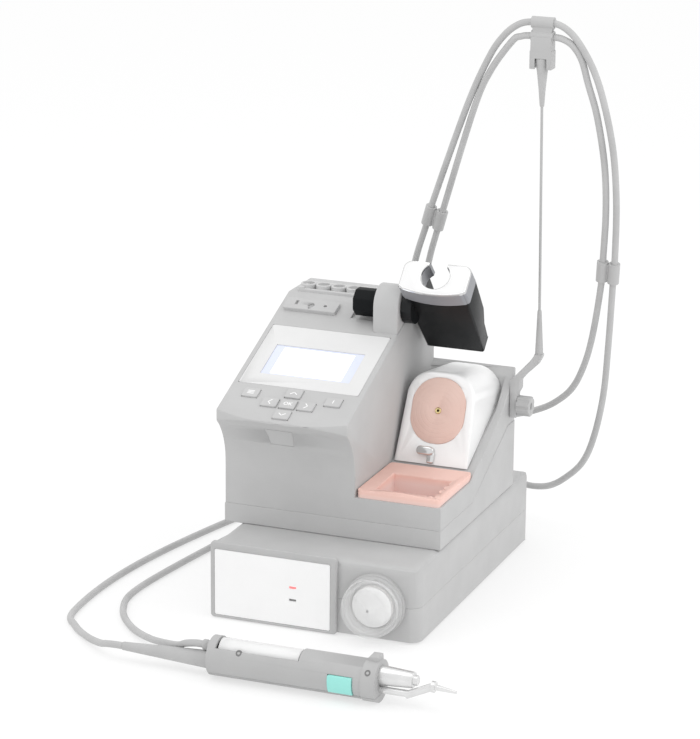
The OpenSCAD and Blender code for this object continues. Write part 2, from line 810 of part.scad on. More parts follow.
// The guard's arch, seen from the front, with its top at 0 and its foot downwards
module guard_arch(inset) {
    low = guard_w / 2 - inset;
    high = low - 2;
    r = guard_round - inset;
    polygon([
        [-high, r], [high, r], [low, guard_len], [low, 2 * guard_len], [-low, 2 * guard_len], [-low, guard_len]
    ]);
    translate([-high + r, inset]) square([2 * (high - r), guard_len]);
    for (x = [-high + r, high - r]) translate([x, r + inset]) circle(r);
    translate([-high, r + inset]) square([2 * high, guard_len / 2]);
}

// Between the guard's leaning face, the bay's rising floor and the bay's back wall
module guard_room(inset) {
    lean = tan(guard_deg);
    front = guard_y + inset / cos(guard_deg);
    low = guard_z - 3 * inset;
    foot_y = bay_front + (guard_z - gap - bay_low) / bay_slope;
    back_y = bay_back - 1;
    across(bay_left, bay_right - bay_left) polygon([
        [front + (low - guard_z) * lean, low], [foot_y, low],
        [back_y + inset, bay_low + gap + (back_y - bay_front) * bay_slope - 3 * inset],
        [back_y + inset, tower_top], [front + (tower_top - guard_z) * lean, tower_top]
    ]);
}

module guard_form(inset) {
    intersection() {
        translate([guard_x, guard_y, guard_z]) translate([0, sin(guard_deg), cos(guard_deg)] * guard_len)
            rotate([-90 - roof_deg, 0, 0]) translate([0, 0, -60]) linear_extrude(160) guard_arch(inset);
        guard_room(inset);
    }
}

module splash_guard() {
    color("silver") at_station() difference() {
        guard_form(0);
        guard_form(guard_wall);
        on_guard(membrane_s) translate([0, 0, -5]) linear_extrude(10) membrane_outline(0);
    }
}

module membrane_outline(inset) {
    w = membrane_w - 2 * inset;
    l = membrane_len - 2 * inset;
    translate([-w / 2, -l / 2]) rounded_rect(w, l, w / 2 - 1);
}

module wiper_membrane() {
    color("chocolate") at_station() on_guard(membrane_s) difference() {
        translate([0, 0, -guard_wall]) linear_extrude(guard_wall + 0.4) membrane_outline(0.05);
        translate([0, 0, -4]) cylinder(h = 8, r = eyelet_r);
    }
}

module wiper_eyelet() {
    color("gold") at_station() on_guard(membrane_s) translate([0, 0, -guard_wall]) difference() {
        cylinder(h = guard_wall + 1, r = eyelet_r - 0.02);
        translate([0, 0, -1]) cylinder(h = 5, r = 0.8);
    }
}

module hook_lever() {
    color("silver") at_station() on_guard(0) {
        translate([-10, 5.5, 0.02]) linear_extrude(5) rounded_rect(12, 6, 1.8);
        translate([-2.6, 0.6, 0.02]) linear_extrude(3.2) rounded_rect(5, 7.5, 0.8);
    }
}

// Inside the control unit
module transformer() {
    color("darkgray") at_station() {
        translate([tower_x + 14, unit_y + 70, pump_h + wall]) cube([60, 34, 50]);
        translate([tower_x + 22, unit_y + 62, pump_h + wall + 10]) cube([44, 50, 30]);
    }
}

module main_board() {
    color("green") at_station() {
        translate([tower_x + 8, unit_y + 8, pump_h + wall]) cube([74, 48, 1.6]);
        translate([tower_x + 14, unit_y + 14, pump_h + wall + 1.5]) cube([14, 14, 9]);
        translate([tower_x + 40, unit_y + 12, pump_h + wall + 1.5]) cube([22, 10, 14]);
        for (k = [0:2]) translate([tower_x + 24 + 14 * k, unit_y + 42, pump_h + wall + 1.5])
            cylinder(h = 16, r = 5);
    }
}

module rear_panel() {
    color("gray") at_station() difference() {
        plate_y(rear_panel_x + 0.2, unit_back - 2, panel_z + 0.2, rear_panel_w - 0.4, 2,
            panel_top - panel_z - 0.4, 1.8);
        translate([inlet_x - 14, unit_back - 5, socket_z - 10]) cube([28, 10, 20]);
        translate([rocker_x - 11, unit_back - 5, socket_z - 7]) cube([22, 10, 14]);
        bar_y(gland_x, unit_back - 5, gland_z, 6.05, 10);
    }
}

module mains_inlet() {
    color("black") at_station() {
        difference() {
            union() {
                translate([inlet_x - 14 + 0.1, unit_back - 20, socket_z - 9.9]) cube([27.8, 20, 19.8]);
                plate_y(inlet_x - 16, unit_back + 0.02, socket_z - 12, 32, 1.5, 24, 2);
            }
            translate([inlet_x - 12, unit_back - 15, socket_z - 8]) cube([24, 20, 16]);
        }
        for (x = [-7, 0, 7]) translate([inlet_x + x - 1, unit_back - 15.5, socket_z - 2.5 + (x == 0 ? 3 : 0)])
            cube([2, 11, 4]);
    }
}

module power_rocker() {
    color("black") at_station() translate([rocker_x, unit_back - 1, socket_z]) {
        translate([-9.7, -3, -5.7]) cube([19.4, 5, 11.4]);
        bar_x(-10.6, -1, 0, 1, 21.2);
    }
}

module cable_gland() {
    color("black") at_station() difference() {
        union() {
            bar_y(gland_x, unit_back - 6, gland_z, 6, 6 + eps);
            bar_y(gland_x, unit_back, gland_z, 8, 2.5);
            translate([gland_x, unit_back + 2.4, gland_z]) rotate([-90, 0, 0])
                cylinder(h = gland_len - 2.4, r1 = 5, r2 = 3.2);
        }
        bar_y(gland_x, unit_back - 7, gland_z, 1.5, gland_len + 6);
    }
}

module case_screws() {
    color("silver") at_station() {
        for (x = foot_places_x(), y = foot_places_y()) translate([x, y, 0.3]) {
            cylinder(h = 1.1, r = 3);
            cylinder(h = 9, r = 1.65);
        }
        for (x = [rear_panel_x + 6, rear_panel_x + rear_panel_w - 6])
            bar_y(x, unit_back + 0.02, panel_top - 6, 2.8, 1.8);
    }
}

// Cable stand
module stand_arm() {
    x0 = unit_w + 0.2;
    end = rod_foot[0];
    top = rod_foot[2];
    color("dimgray") at_station() difference() {
        intersection() {
            translate([0, arm_y + arm_w, 0]) rotate([90, 0, 0]) linear_extrude(2 * arm_w) polygon([
                [x0, arm_z - 8], [x0 + arm_t, arm_z - 8], [x0 + arm_t, arm_z + 8.5], [x0 + 7, arm_z + 12],
                [x0 + 7, top - 18.5], [end - 7.8, top - 14.6], [end, top - 6.8], [end + 2.7, top - 1.4],
                [end + 2.7, top], [end - 2.7, top], [end - 2.7, top - 1], [end - 5.1, top - 4.5],
                [x0 + 3.8, top - 14.7], [x0, top - 19]
            ]);
            across(x0 - 1, 30) polygon([
                [arm_y - arm_w / 2, arm_z - 9], [arm_y + arm_w / 2, arm_z - 9], [arm_y + arm_w / 2, top - 16],
                [rod_foot[1] + 2.7, top - 8], [rod_foot[1] + 2.7, top + 1], [rod_foot[1] - 2.7, top + 1],
                [rod_foot[1] - 2.7, top - 8], [arm_y - arm_w / 2, top - 16]
            ]);
        }
        bar_x(x0 - 1, arm_y, arm_z, stud_r + stud_gap, arm_t + 3);
    }
}

module stand_knob() {
    x0 = unit_w + 0.2 + arm_t + gap;
    color("black") at_station() {
        difference() {
            bar_x(x0, arm_y, arm_z, 6.8, 9);
            for (k = [0:7]) translate([x0 - 1, arm_y, arm_z]) rotate([45 * k, 0, 0]) translate([0, 0, 7.6])
                rotate([0, 90, 0]) cylinder(h = 11, r = 1.6);
            bar_x(x0 + 7, arm_y, arm_z, 2.4, 3);
        }
        bar_x(bay_right + 1, arm_y, arm_z, stud_r, x0 - bay_right);
    }
}

module along(a, b) {
    d = b - a;
    translate(a) rotate([0, acos(d[2] / norm(d)), atan2(d[1], d[0])]) children();
}

module stand_rod() {
    color("silver") at_station() along(rod_foot, rod_head) translate([0, 0, 0.04])
        cylinder(h = norm(rod_head - rod_foot) - 0.08, r = rod_r);
}

module rod_boots() {
    color("black") at_station() difference() {
        union() {
            along(rod_foot, rod_head) translate([0, 0, 0.12]) cylinder(h = 30, r1 = 2.7, r2 = 1.4);
            along(rod_head, rod_foot) translate([0, 0, 0.15]) cylinder(h = 32, r1 = 4.6, r2 = 1.5);
        }
        along(rod_foot, rod_head) translate([0, 0, -1]) cylinder(h = norm(rod_head - rod_foot) + 2, r = rod_r);
    }
}

module top_clip() {
    color("black") at_station() translate([rod_head[0], rod_head[1], 0]) difference() {
        union() {
            for (z = [clip_high, clip_low]) bar_x(-clip_half, 0, z, cord_r + clip_gap + clip_shell, 2 * clip_half);
            translate([-clip_half + 1, -2.5, clip_low - 6]) cube([2 * clip_half - 2, 5, clip_high - clip_low + 6]);
            translate([-clip_half + 0.5, -4.5, rod_head[2]]) cube([2 * clip_half - 1, 9, clip_low - rod_head[2]]);
            for (x = [-clip_half, clip_half - 3.5])
                translate([x, -4.5, rod_head[2] - 7]) cube([3.5, 9, 12]);
        }
        for (z = [clip_high, clip_low]) bar_x(-clip_half - 1, 0, z, cord_r + clip_gap, 2 * clip_half + 2);
        translate([0, 0, rod_head[2] - 8]) cylinder(h = 8 + eps, r = 5);
    }
}

// A clip of two sleeves that holds both cords, from the four route points where it sits
module cord_clip(p) {
    axis = unit(p[1] - p[0]);
    side = across_of(p[2] - p[0], axis);
    front = cross(axis, side);
    middle = (p[0] + p[1]) / 2;
    spacing = (p[2] - p[0]) * side;
    r = cord_r + clip_gap;
    half = 7;
    multmatrix([
        [side[0], front[0], axis[0], middle[0]], [side[1], front[1], axis[1], middle[1]],
        [side[2], front[2], axis[2], middle[2]]
    ]) difference() {
        union() {
            for (x = [0, spacing]) translate([x, 0, -half]) cylinder(h = 2 * half, r = r + clip_shell);
            translate([1, -1.6, 1 - half]) cube([spacing - 2, 3.2, 2 * half - 2]);
        }
        for (x = [0, spacing]) translate([x, 0, -half - 1]) cylinder(h = 2 * half + 2, r = r);
    }
}

module cord_clips() {
    color("black") at_station() {
        cord_clip(right_clip);
        cord_clip(left_clip);
    }
}

module tool_cable() {
    color("black") at_station() swept_tube(cable_route, cord_r);
}

module suction_hose() {
    color("black") at_station() swept_tube(hose_route, cord_r);
}

// Handpiece
module hand_solid(inset) {
    bar_x(hand_x + inset, hand_y, hand_z, hand_r - inset, hand_len - 2 * inset);
    bar_x(hand_x + hand_len - collar_len, hand_y, hand_z, collar_r - inset, collar_len - inset);
}

module hand_shell() {
    difference() {
        union() {
            hand_solid(0);
            translate([hand_x + hand_len - 7, hand_y - 3, hand_z + collar_r - 2]) cube([6, 9, 4.5]);
        }
        hand_solid(hand_wall);
        translate([hand_x + collector_x - 1, hand_y - hand_r - 1, collector_z + 4.2])
            cube([collector_len + 2, 2 * hand_r + 2, 20]);
        bar_x(hand_x + collector_x - 1, hand_y, collector_z, collector_r + gap, collector_len + 2);
        translate([hand_x + collector_x - 1, hand_y - collector_r - gap, collector_z])
            cube([collector_len + 2, 2 * collector_r + 2 * gap, 20]);
        translate([hand_x + trigger_x - gap, hand_y - hand_r - 2, hand_seam])
            cube([trigger_w + 2 * gap, 12, 17.3 - hand_seam]);
        bar_x(hand_x + hand_len - hand_wall - 1, hand_y, barrel_z, 6.3, hand_wall + 2);
        bar_x(hand_x + hand_len - hand_wall - 1, hand_y - tip_aside, 9, 2.2 + eps, hand_wall + 2);
    }
}

module handpiece_shell() {
    color("dimgray") at_station() difference() {
        hand_shell();
        translate([hand_x - 1, hand_y - 20, -5]) cube([hand_len + 2, 40, 5 + hand_seam]);
    }
}

module handpiece_base() {
    color("dimgray") at_station() intersection() {
        hand_shell();
        translate([hand_x - 1, hand_y - 20, -5]) cube([hand_len + 2, 40, 5 + hand_seam - eps]);
    }
}

module solder_collector() {
    color("lightblue") at_station() difference() {
        bar_x(hand_x + collector_x, hand_y, collector_z, collector_r, collector_len);
        bar_x(hand_x + collector_x + 4, hand_y, collector_z, collector_r - 1.5, collector_len - 12);
    }
}

module trigger() {
    color("mediumturquoise") at_station() intersection() {
        difference() {
            bar_x(hand_x + trigger_x, hand_y, hand_z, hand_r + 1, trigger_w);
            bar_x(hand_x + trigger_x - 1, hand_y, hand_z, hand_r - 4, trigger_w + 2);
        }
        translate([hand_x + trigger_x, hand_y - 20, hand_seam + gap]) cube([trigger_w, 12.5, 17 - hand_seam - gap]);
    }
}

module tool_barrel() {
    x = hand_x + hand_len;
    color("silver") at_station() {
        bar_x(x - hand_wall - 6, hand_y, barrel_z, 6.2, hand_wall + 6 + eps);
        translate([x, hand_y, barrel_z]) rotate([0, 90, 0]) cylinder(h = barrel_len, r1 = 6.2, r2 = 5);
        bar_x(x + barrel_len - eps, hand_y, barrel_z, 3.2, 2.5);
    }
}

module desoldering_tip() {
    x = hand_x + hand_len;
    y = hand_y - tip_aside;
    bend = [x + 17, y, 8];
    neck = [x + 34, y, 16];
    color("silver") at_station() {
        bar_x(x - hand_wall - 6, y, 9, 2.2, hand_wall + 6 + 19);
        along(bend, neck) cylinder(h = norm(neck - bend), r = 2.4);
        along(neck, [x + tip_reach, y, 14.6]) {
            translate([0, 0, -1]) cylinder(h = 2.6, r = 3.5);
            cylinder(h = tip_reach - 34, r1 = 2, r2 = 0.9);
        }
    }
}

module handpiece_boot() {
    color("black") at_station() {
        translate([hand_x - boot_len, hand_y, boot_z]) rotate([0, 90, 0])
            cylinder(h = boot_len - eps, r1 = cord_r + 0.4, r2 = 5.8);
        bar_x(hand_x - nipple_len, hand_y + 1, nipple_z, 2.9, nipple_len - eps);
    }
}

pump_base();
pump_cover();
panel_frame();
front_panel();
status_lights();
filter_seat();
filter_bowl();
filter_cone();
filter_element();
bowl_seal();
vacuum_pump();
pump_shaft();
base_feet();
hose_barb();
base_shell();
upper_shell();
display_frame();
display_window();
front_board();
key_menu();
key_up();
key_left();
key_enter();
key_right();
key_down();
key_info();
port_cover();
extractor_plate();
cartridge_rack();
holder_bracket();
bracket_knob();
holder_body();
holder_fork();
tip_tray();
splash_guard();
wiper_membrane();
wiper_eyelet();
hook_lever();
transformer();
main_board();
rear_panel();
mains_inlet();
power_rocker();
cable_gland();
case_screws();
stand_arm();
stand_knob();
stand_rod();
rod_boots();
top_clip();
cord_clips();
tool_cable();
suction_hose();
handpiece_shell();
handpiece_base();
solder_collector();
trigger();
tool_barrel();
desoldering_tip();
handpiece_boot();
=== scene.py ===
import math
import bpy
import bmesh
from mathutils import Matrix, Vector


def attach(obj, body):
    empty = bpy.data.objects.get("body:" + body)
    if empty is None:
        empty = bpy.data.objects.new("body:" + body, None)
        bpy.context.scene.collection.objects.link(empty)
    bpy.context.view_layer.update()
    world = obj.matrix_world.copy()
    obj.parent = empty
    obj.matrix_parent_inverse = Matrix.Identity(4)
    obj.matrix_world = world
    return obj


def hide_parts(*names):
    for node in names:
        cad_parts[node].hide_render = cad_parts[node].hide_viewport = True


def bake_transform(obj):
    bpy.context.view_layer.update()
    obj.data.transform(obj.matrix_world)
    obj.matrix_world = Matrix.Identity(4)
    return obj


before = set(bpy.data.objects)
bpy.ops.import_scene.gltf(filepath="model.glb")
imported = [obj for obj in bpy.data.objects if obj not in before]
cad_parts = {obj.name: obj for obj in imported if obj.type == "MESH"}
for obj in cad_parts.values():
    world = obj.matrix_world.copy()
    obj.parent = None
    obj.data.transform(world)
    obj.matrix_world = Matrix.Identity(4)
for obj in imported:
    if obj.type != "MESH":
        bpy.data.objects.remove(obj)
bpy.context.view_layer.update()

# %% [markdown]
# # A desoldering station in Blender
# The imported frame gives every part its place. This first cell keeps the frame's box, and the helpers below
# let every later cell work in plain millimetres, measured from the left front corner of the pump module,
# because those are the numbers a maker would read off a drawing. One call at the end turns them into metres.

CENTRE = Vector((100.0, 63.8, 0.0))
TO_FRAME = Matrix.Scale(0.001, 4) @ Matrix.Translation(-CENTRE)
scene = bpy.context.scene


def at(x, y, z):
    return TO_FRAME @ Vector((x, y, z))


def turned(x, y, z, axis="X", angle=0.0):
    return Matrix.Translation((x, y, z)) @ Matrix.Rotation(math.radians(angle), 4, axis)


def facing(x, y, z, direction):
    """A place whose local +Z looks along direction."""
    turn = Vector(direction).to_track_quat("Z", "Y").to_matrix().to_4x4()
    return Matrix.Translation((x, y, z)) @ turn


# %% [markdown]
# ## The camera
# The camera comes first, since it decides which faces matter most. A long lens from a raised three-quarter
# view keeps the box lines nearly parallel, as a catalogue view does. The turn is built from azimuth, elevation
# and a slight roll, so each can be changed alone.

# %% Camera
def catalogue_camera(azimuth, elevation, roll, place, lens):
    a, e, r = (math.radians(v) for v in (azimuth, elevation, roll))
    back = Vector((math.sin(a) * math.cos(e), -math.cos(a) * math.cos(e), math.sin(e)))
    side = Vector((0, 0, 1)).cross(back).normalized()
    up = back.cross(side)
    right = math.cos(r) * side + math.sin(r) * up
    top = math.cos(r) * up - math.sin(r) * side
    data = bpy.data.cameras.new("catalogue_camera")
    data.lens = lens
    data.sensor_width = 36.0
    data.clip_end = 20.0
    camera = bpy.data.objects.new("catalogue_camera", data)
    scene.collection.objects.link(camera)
    turn = Matrix((right, top, back)).transposed().to_4x4()
    camera.matrix_world = Matrix.Translation(at(*place)) @ turn
    scene.camera = camera
    return camera


camera = catalogue_camera(21.43, 16.47, 0.50, (766.0, -1688.9, 712.5), 149.33)
print("camera distance, metres:", round(camera.location.length, 3))

# %% [markdown]
# ## The two cords
# A tool cable and a suction hose leave the back of the two boxes, climb to the clip on the cable stand, hang
# down behind the tower and lie on the table up to the handpiece. Each could be a bevelled curve, but a cord
# that must bend with the lifted handpiece has to be a mesh. So a smooth line is laid through the route's
# points, given its thickness as a curve, and only then made a mesh. The points are the ones of the CAD route.

# %% Cord routes
CORD_D = 4.5
cable_route = [
    (118, 198.6, 84), (118, 206, 84), (120.7, 216.3, 84), (128.3, 223.8, 85), (138.5, 226.8, 87),
    (150, 227.5, 90.5), (164, 225, 98), (178, 221, 111), (188, 215, 130), (196, 207, 155), (204, 196, 193),
    (206, 192, 213), (208, 188, 245), (207, 185, 276), (202, 182, 308), (195.8, 179.8, 330), (191.4, 178.9, 345),
    (185.6, 178.2, 354), (179.3, 178, 357.8), (172.5, 178, 359), (157.5, 178, 359), (150, 178.2, 357.9),
    (143.8, 179.2, 354.2), (128, 184, 333), (115, 190, 306), (89, 206, 232), (83, 210, 214), (76, 214, 191),
    (67, 221, 150), (57, 230, 100), (47, 237, 52), (34, 240, 20), (14, 240, 5), (-8, 234, 2.4), (-30, 214, 2.4),
    (-46, 187, 2.4), (-67, 101, 2.4), (-76, 28, 2.4), (-73, -35, 2.4), (-61, -56, 2.4), (-44, -73, 3.5),
    (-29, -86, 6.6), (-22, -90.2, 8.7), (-16, -91.5, 9.5), (-10, -91.5, 9.5),
]
hose_route = [
    (100, 232.3, 30), (100, 237, 30), (102.5, 246.5, 30), (109.5, 253.5, 29.5), (119, 256, 29),
    (130, 253.5, 28.5), (143, 248.5, 28.5), (157, 244, 32), (170, 239, 41), (184, 232, 56), (194, 224, 78),
    (203, 213, 112), (208, 204, 150), (212, 196, 192), (214, 192, 212), (215, 188, 250), (213, 184, 285),
    (207, 181, 316), (200, 179, 338), (191, 178.2, 354), (182.5, 178, 363.5), (172.5, 178, 368), (157.5, 178, 368),
    (148, 178.3, 365.5), (138, 180, 357.5), (127, 183, 342), (110, 190, 307), (81, 206, 235), (75, 210, 217),
    (67, 213, 193), (56, 218, 150), (45, 222, 100), (35, 225, 55), (23, 227, 22), (4, 225, 5), (-14, 212, 2.4),
    (-28, 186, 2.4), (-43, 104, 2.4), (-53, 20, 2.4), (-46, -17, 2.4), (-27, -45, 3), (-4, -65, 5.5),
    (22, -83.6, 12.2), (31, -88.4, 16.4), (39, -90.5, 18.5), (45, -90.5, 18.5),
]


def smooth_line(route, per_span=8):
    """Catmull-Rom points through the route, never lower than the table allows."""
    points = [Vector(p) for p in route]
    points = [2 * points[0] - points[1]] + points + [2 * points[-1] - points[-2]]
    line = []
    for i in range(1, len(points) - 2):
        a, b, c, d = points[i - 1:i + 3]
        for k in range(per_span):
            t = k / per_span
            p = 0.5 * (2 * b + (c - a) * t + (2 * a - 5 * b + 4 * c - d) * t ** 2
                       + (3 * b - a - 3 * c + d) * t ** 3)
            p.z = max(p.z, CORD_D / 2 + 0.02)
            line.append(at(*p))
    line.append(at(*points[-2]))
    return line


def line_length(line):
    return sum((b - a).length for a, b in zip(line, line[1:]))


def cord_mesh(name, line):
    curve = bpy.data.curves.new(name, "CURVE")
    curve.dimensions = "3D"
    curve.bevel_depth = CORD_D / 2000
    curve.bevel_resolution = 4
    curve.use_fill_caps = True
    spline = curve.splines.new("POLY")
    spline.points.add(len(line) - 1)
    for point, place in zip(spline.points, line):
        point.co = (*place, 1.0)
    holder = bpy.data.objects.new(name + "_line", curve)
    scene.collection.objects.link(holder)
    bpy.context.view_layer.update()
    mesh = bpy.data.meshes.new_from_object(holder.evaluated_get(bpy.context.evaluated_depsgraph_get()))
    bpy.data.objects.remove(holder)
    bm = bmesh.new()
    bm.from_mesh(mesh)
    bmesh.ops.remove_doubles(bm, verts=bm.verts, dist=1e-6)
    bmesh.ops.recalc_face_normals(bm, faces=bm.faces)
    bm.to_mesh(mesh)
    bm.free()
    mesh.name = name
    obj = bpy.data.objects.new(name, mesh)
    scene.collection.objects.link(obj)
    mesh.shade_smooth()
    return obj


cable_line = smooth_line(cable_route)
hose_line = smooth_line(hose_route)
cable_piece = cord_mesh("tool_cable_tube", cable_line)
hose_piece = cord_mesh("suction_hose_tube", hose_line)
print("cable length:", round(line_length(cable_line), 3), "hose length:", round(line_length(hose_line), 3))

# %% [markdown]
# ## Shared surface effects
# Moulded plastic is never one flat colour: it has a fine spark-eroded grain, slightly cloudy tone and edges
# that hands have polished, whose lighter colour is also a painted highlight. These could be painted, but a
# pattern made of nodes works at any size and on any piece. Each effect is a node group with named inputs,
# built once. The groups only give out masks and heights, and each material decides what to do with them.

# %% Node group helpers
def new_group(name, inputs, outputs):
    group = bpy.data.node_groups.new(name, "ShaderNodeTree")
    for title, kind, value in inputs:
        socket = group.interface.new_socket(title, in_out="INPUT", socket_type=kind)
        socket.default_value = value
    for title, kind in outputs:
        group.interface.new_socket(title, in_out="OUTPUT", socket_type=kind)
    return group, group.nodes.new("NodeGroupInput"), group.nodes.new("NodeGroupOutput")


def add_node(tree, kind, settings=None, **inputs):
    node = tree.nodes.new(kind)
    for key, value in (settings or {}).items():
        setattr(node, key, value)
    for key, value in inputs.items():
        by_number = key[0] == "i" and key[1:].isdigit()
        socket = node.inputs[int(key[1:])] if by_number else node.inputs[key.replace("_", " ")]
        if isinstance(value, bpy.types.NodeSocket):
            tree.links.new(value, socket)
        else:
            socket.default_value = value
    return node


F = "NodeSocketFloat"

# %% Moulded grain
grain, gin, gout = new_group("moulded_grain", [("Grain", F, 3000.0), ("Cloud", F, 40.0)],
                             [("Height", F), ("Tone", F)])
spot = add_node(grain, "ShaderNodeTexCoord")
fine = add_node(grain, "ShaderNodeTexNoise", Vector=spot.outputs["Object"], Scale=gin.outputs["Grain"],
                Detail=3.0, Roughness=0.6)
cloud = add_node(grain, "ShaderNodeTexNoise", Vector=spot.outputs["Object"], Scale=gin.outputs["Cloud"],
                 Detail=4.0, Roughness=0.55)
grain.links.new(fine.outputs["Fac"], gout.inputs["Height"])
grain.links.new(cloud.outputs["Fac"], gout.inputs["Tone"])
print("group:", grain.name)

# %% Polished edges with painted highlight
# Patchy mask on the bevelled rim faces, which the materials turn lighter: partly polish from handling, partly a
# painted highlight where edges catch light.
edge_wear_and_highlight, win, wout = new_group("worn_and_highlit_edges", [("Scale", F, 250.0), ("Cover", F, 0.55)], [("Mask", F)])
rim = add_node(edge_wear_and_highlight, "ShaderNodeAttribute", {"attribute_name": "rim"})
spot = add_node(edge_wear_and_highlight, "ShaderNodeTexCoord")
patch = add_node(edge_wear_and_highlight, "ShaderNodeTexNoise", Vector=spot.outputs["Object"], Scale=win.outputs["Scale"], Detail=5.0)
low = add_node(edge_wear_and_highlight, "ShaderNodeMath", {"operation": "SUBTRACT", "use_clamp": True}, i0=patch.outputs["Fac"],
               i1=win.outputs["Cover"])
high = add_node(edge_wear_and_highlight, "ShaderNodeMath", {"operation": "MULTIPLY", "use_clamp": True}, i0=low.outputs[0], i1=3.0)
both = add_node(edge_wear_and_highlight, "ShaderNodeMath", {"operation": "MULTIPLY", "use_clamp": True}, i0=high.outputs[0],
                i1=rim.outputs["Fac"])
edge_wear_and_highlight.links.new(both.outputs[0], wout.inputs["Mask"])
print("group:", edge_wear_and_highlight.name)

# %% Brushed lines
brushed, bin_, bout = new_group("brushed_lines", [("Across", F, 2500.0), ("Along", F, 60.0)],
                                [("Height", F), ("Tone", F)])
spot = add_node(brushed, "ShaderNodeTexCoord")
stretch = add_node(brushed, "ShaderNodeCombineXYZ", X=bin_.outputs["Along"], Y=bin_.outputs["Across"],
                   Z=bin_.outputs["Across"])
scaled = add_node(brushed, "ShaderNodeVectorMath", {"operation": "MULTIPLY"}, i0=spot.outputs["Object"],
                  i1=stretch.outputs[0])
lines = add_node(brushed, "ShaderNodeTexNoise", Vector=scaled.outputs[0], Scale=1.0, Detail=3.0)
haze = add_node(brushed, "ShaderNodeTexNoise", Vector=spot.outputs["Object"], Scale=60.0, Detail=4.0)
brushed.links.new(lines.outputs["Fac"], bout.inputs["Height"])
brushed.links.new(haze.outputs["Fac"], bout.inputs["Tone"])
print("group:", brushed.name)

# %% [markdown]
# ## Materials
# One recipe serves every plastic, rubber and metal: a tone that wanders between two close colours, a third,
# lighter colour on the edges for polish from handling and painted highlight, a roughness range and a bump.
# Writing the recipe as a function keeps the materials comparable, and each one still has its own values, as
# each real plastic has its own tool and batch.

# %% Surface recipe
def surface(name, colour, darker, worn_and_highlight=None, rough=(0.45, 0.6), bump=0.08, grain_size=3000.0, metal=0.0,
            lines=False, coat=0.0, cloud=40.0, specular=0.5, glow=0.0):
    material = bpy.data.materials.new(name)
    material.use_nodes = True
    tree = material.node_tree
    shader = tree.nodes["Principled BSDF"]
    if lines:
        effect = add_node(tree, "ShaderNodeGroup", {"node_tree": brushed}, Across=grain_size)
    else:
        effect = add_node(tree, "ShaderNodeGroup", {"node_tree": grain}, Grain=grain_size, Cloud=cloud)
    tone = add_node(tree, "ShaderNodeMapRange", i0=effect.outputs["Tone"], i1=0.35, i2=0.65, i3=0.0, i4=1.0)
    mix = add_node(tree, "ShaderNodeMix", {"data_type": "RGBA"}, i0=tone.outputs[0], i6=(*colour, 1), i7=(*darker, 1))
    result = mix.outputs[2]
    # Lighter edge colour on the rim faces: partly polish from handling, partly a painted highlight.
    if worn_and_highlight:
        edge = add_node(tree, "ShaderNodeGroup", {"node_tree": edge_wear_and_highlight})
        worn_and_highlight_mix = add_node(tree, "ShaderNodeMix", {"data_type": "RGBA"}, i0=edge.outputs["Mask"], i6=result,
                            i7=(*worn_and_highlight, 1))
        result = worn_and_highlight_mix.outputs[2]
    tree.links.new(result, shader.inputs["Base Color"])
    dull = add_node(tree, "ShaderNodeMapRange", i0=effect.outputs["Tone"], i1=0.3, i2=0.7, i3=rough[0], i4=rough[1])
    tree.links.new(dull.outputs[0], shader.inputs["Roughness"])
    relief = add_node(tree, "ShaderNodeBump", Strength=bump, Distance=0.0004, Height=effect.outputs["Height"])
    tree.links.new(relief.outputs[0], shader.inputs["Normal"])
    shader.inputs["Metallic"].default_value = metal
    shader.inputs["Coat Weight"].default_value = coat
    shader.inputs["Specular IOR Level"].default_value = specular
    if glow:
        shader.inputs["Emission Color"].default_value = (*colour, 1)
        shader.inputs["Emission Strength"].default_value = glow
    return material


def grey(v, warm=0.0):
    return (v * (1 + warm), v, v * (1 - warm))


# %% Plastics and rubbers
housing = surface("housing_plastic", grey(0.53), grey(0.51), grey(0.57), (0.5, 0.6), 0.08, specular=0.25)
trim = surface("trim_plastic", grey(0.50), grey(0.48), grey(0.55), (0.45, 0.55), 0.06, specular=0.25)
cord_skin = surface("cord_rubber", grey(0.52), grey(0.47), None, (0.5, 0.65), 0.10, specular=0.3)
boot_skin = surface("boot_rubber", grey(0.50), grey(0.46), grey(0.57), (0.5, 0.65), 0.10, specular=0.3)
grip_black = surface("holder_black", (0.007, 0.008, 0.009), (0.010, 0.011, 0.012), (0.022, 0.023, 0.024),
                     (0.34, 0.44), 0.08, 2600.0, specular=0.25)
knob_black = surface("knob_black", (0.005, 0.006, 0.007), (0.007, 0.008, 0.009), (0.018, 0.019, 0.020),
                     (0.46, 0.56), 0.06, 2600.0, specular=0.12)
hand_plastic = surface("handpiece_plastic", grey(0.48), grey(0.46), grey(0.53), (0.5, 0.6), 0.08, specular=0.25)
rack_plastic = surface("rack_plastic", grey(0.60), grey(0.58), grey(0.64), (0.5, 0.6), 0.08, specular=0.25)
white_panel = surface("panel_white", grey(0.95), grey(0.93), grey(0.97), (0.5, 0.6), 0.02, specular=0.2)
display_sheet = surface("display_sheet", grey(0.75), grey(0.73), grey(0.80), (0.45, 0.55), 0.02, specular=0.3)
key_cap = surface("key_cap", grey(0.55), grey(0.52), grey(0.66), (0.45, 0.55), 0.06, specular=0.3)
mark_white = surface("mark_white", grey(0.95), grey(0.92), None, (0.4, 0.5), 0.02)
mark_dark = surface("mark_dark", grey(0.20), grey(0.17), None, (0.5, 0.6), 0.03)
teal = surface("trigger_teal", (0.36, 0.80, 0.73), (0.33, 0.76, 0.70), (0.50, 0.90, 0.84), (0.4, 0.5), 0.06,
               specular=0.3)
silicone = surface("tray_silicone", (0.90, 0.61, 0.54), (0.86, 0.57, 0.50), (0.94, 0.69, 0.63), (0.55, 0.7),
                   0.12, 1800.0, specular=0.25)
light_red = surface("light_red", (0.95, 0.22, 0.22), (0.90, 0.18, 0.18), None, (0.2, 0.3), 0.0, glow=0.5)
light_off = surface("light_off", grey(0.22), grey(0.20), None, (0.2, 0.3), 0.0)
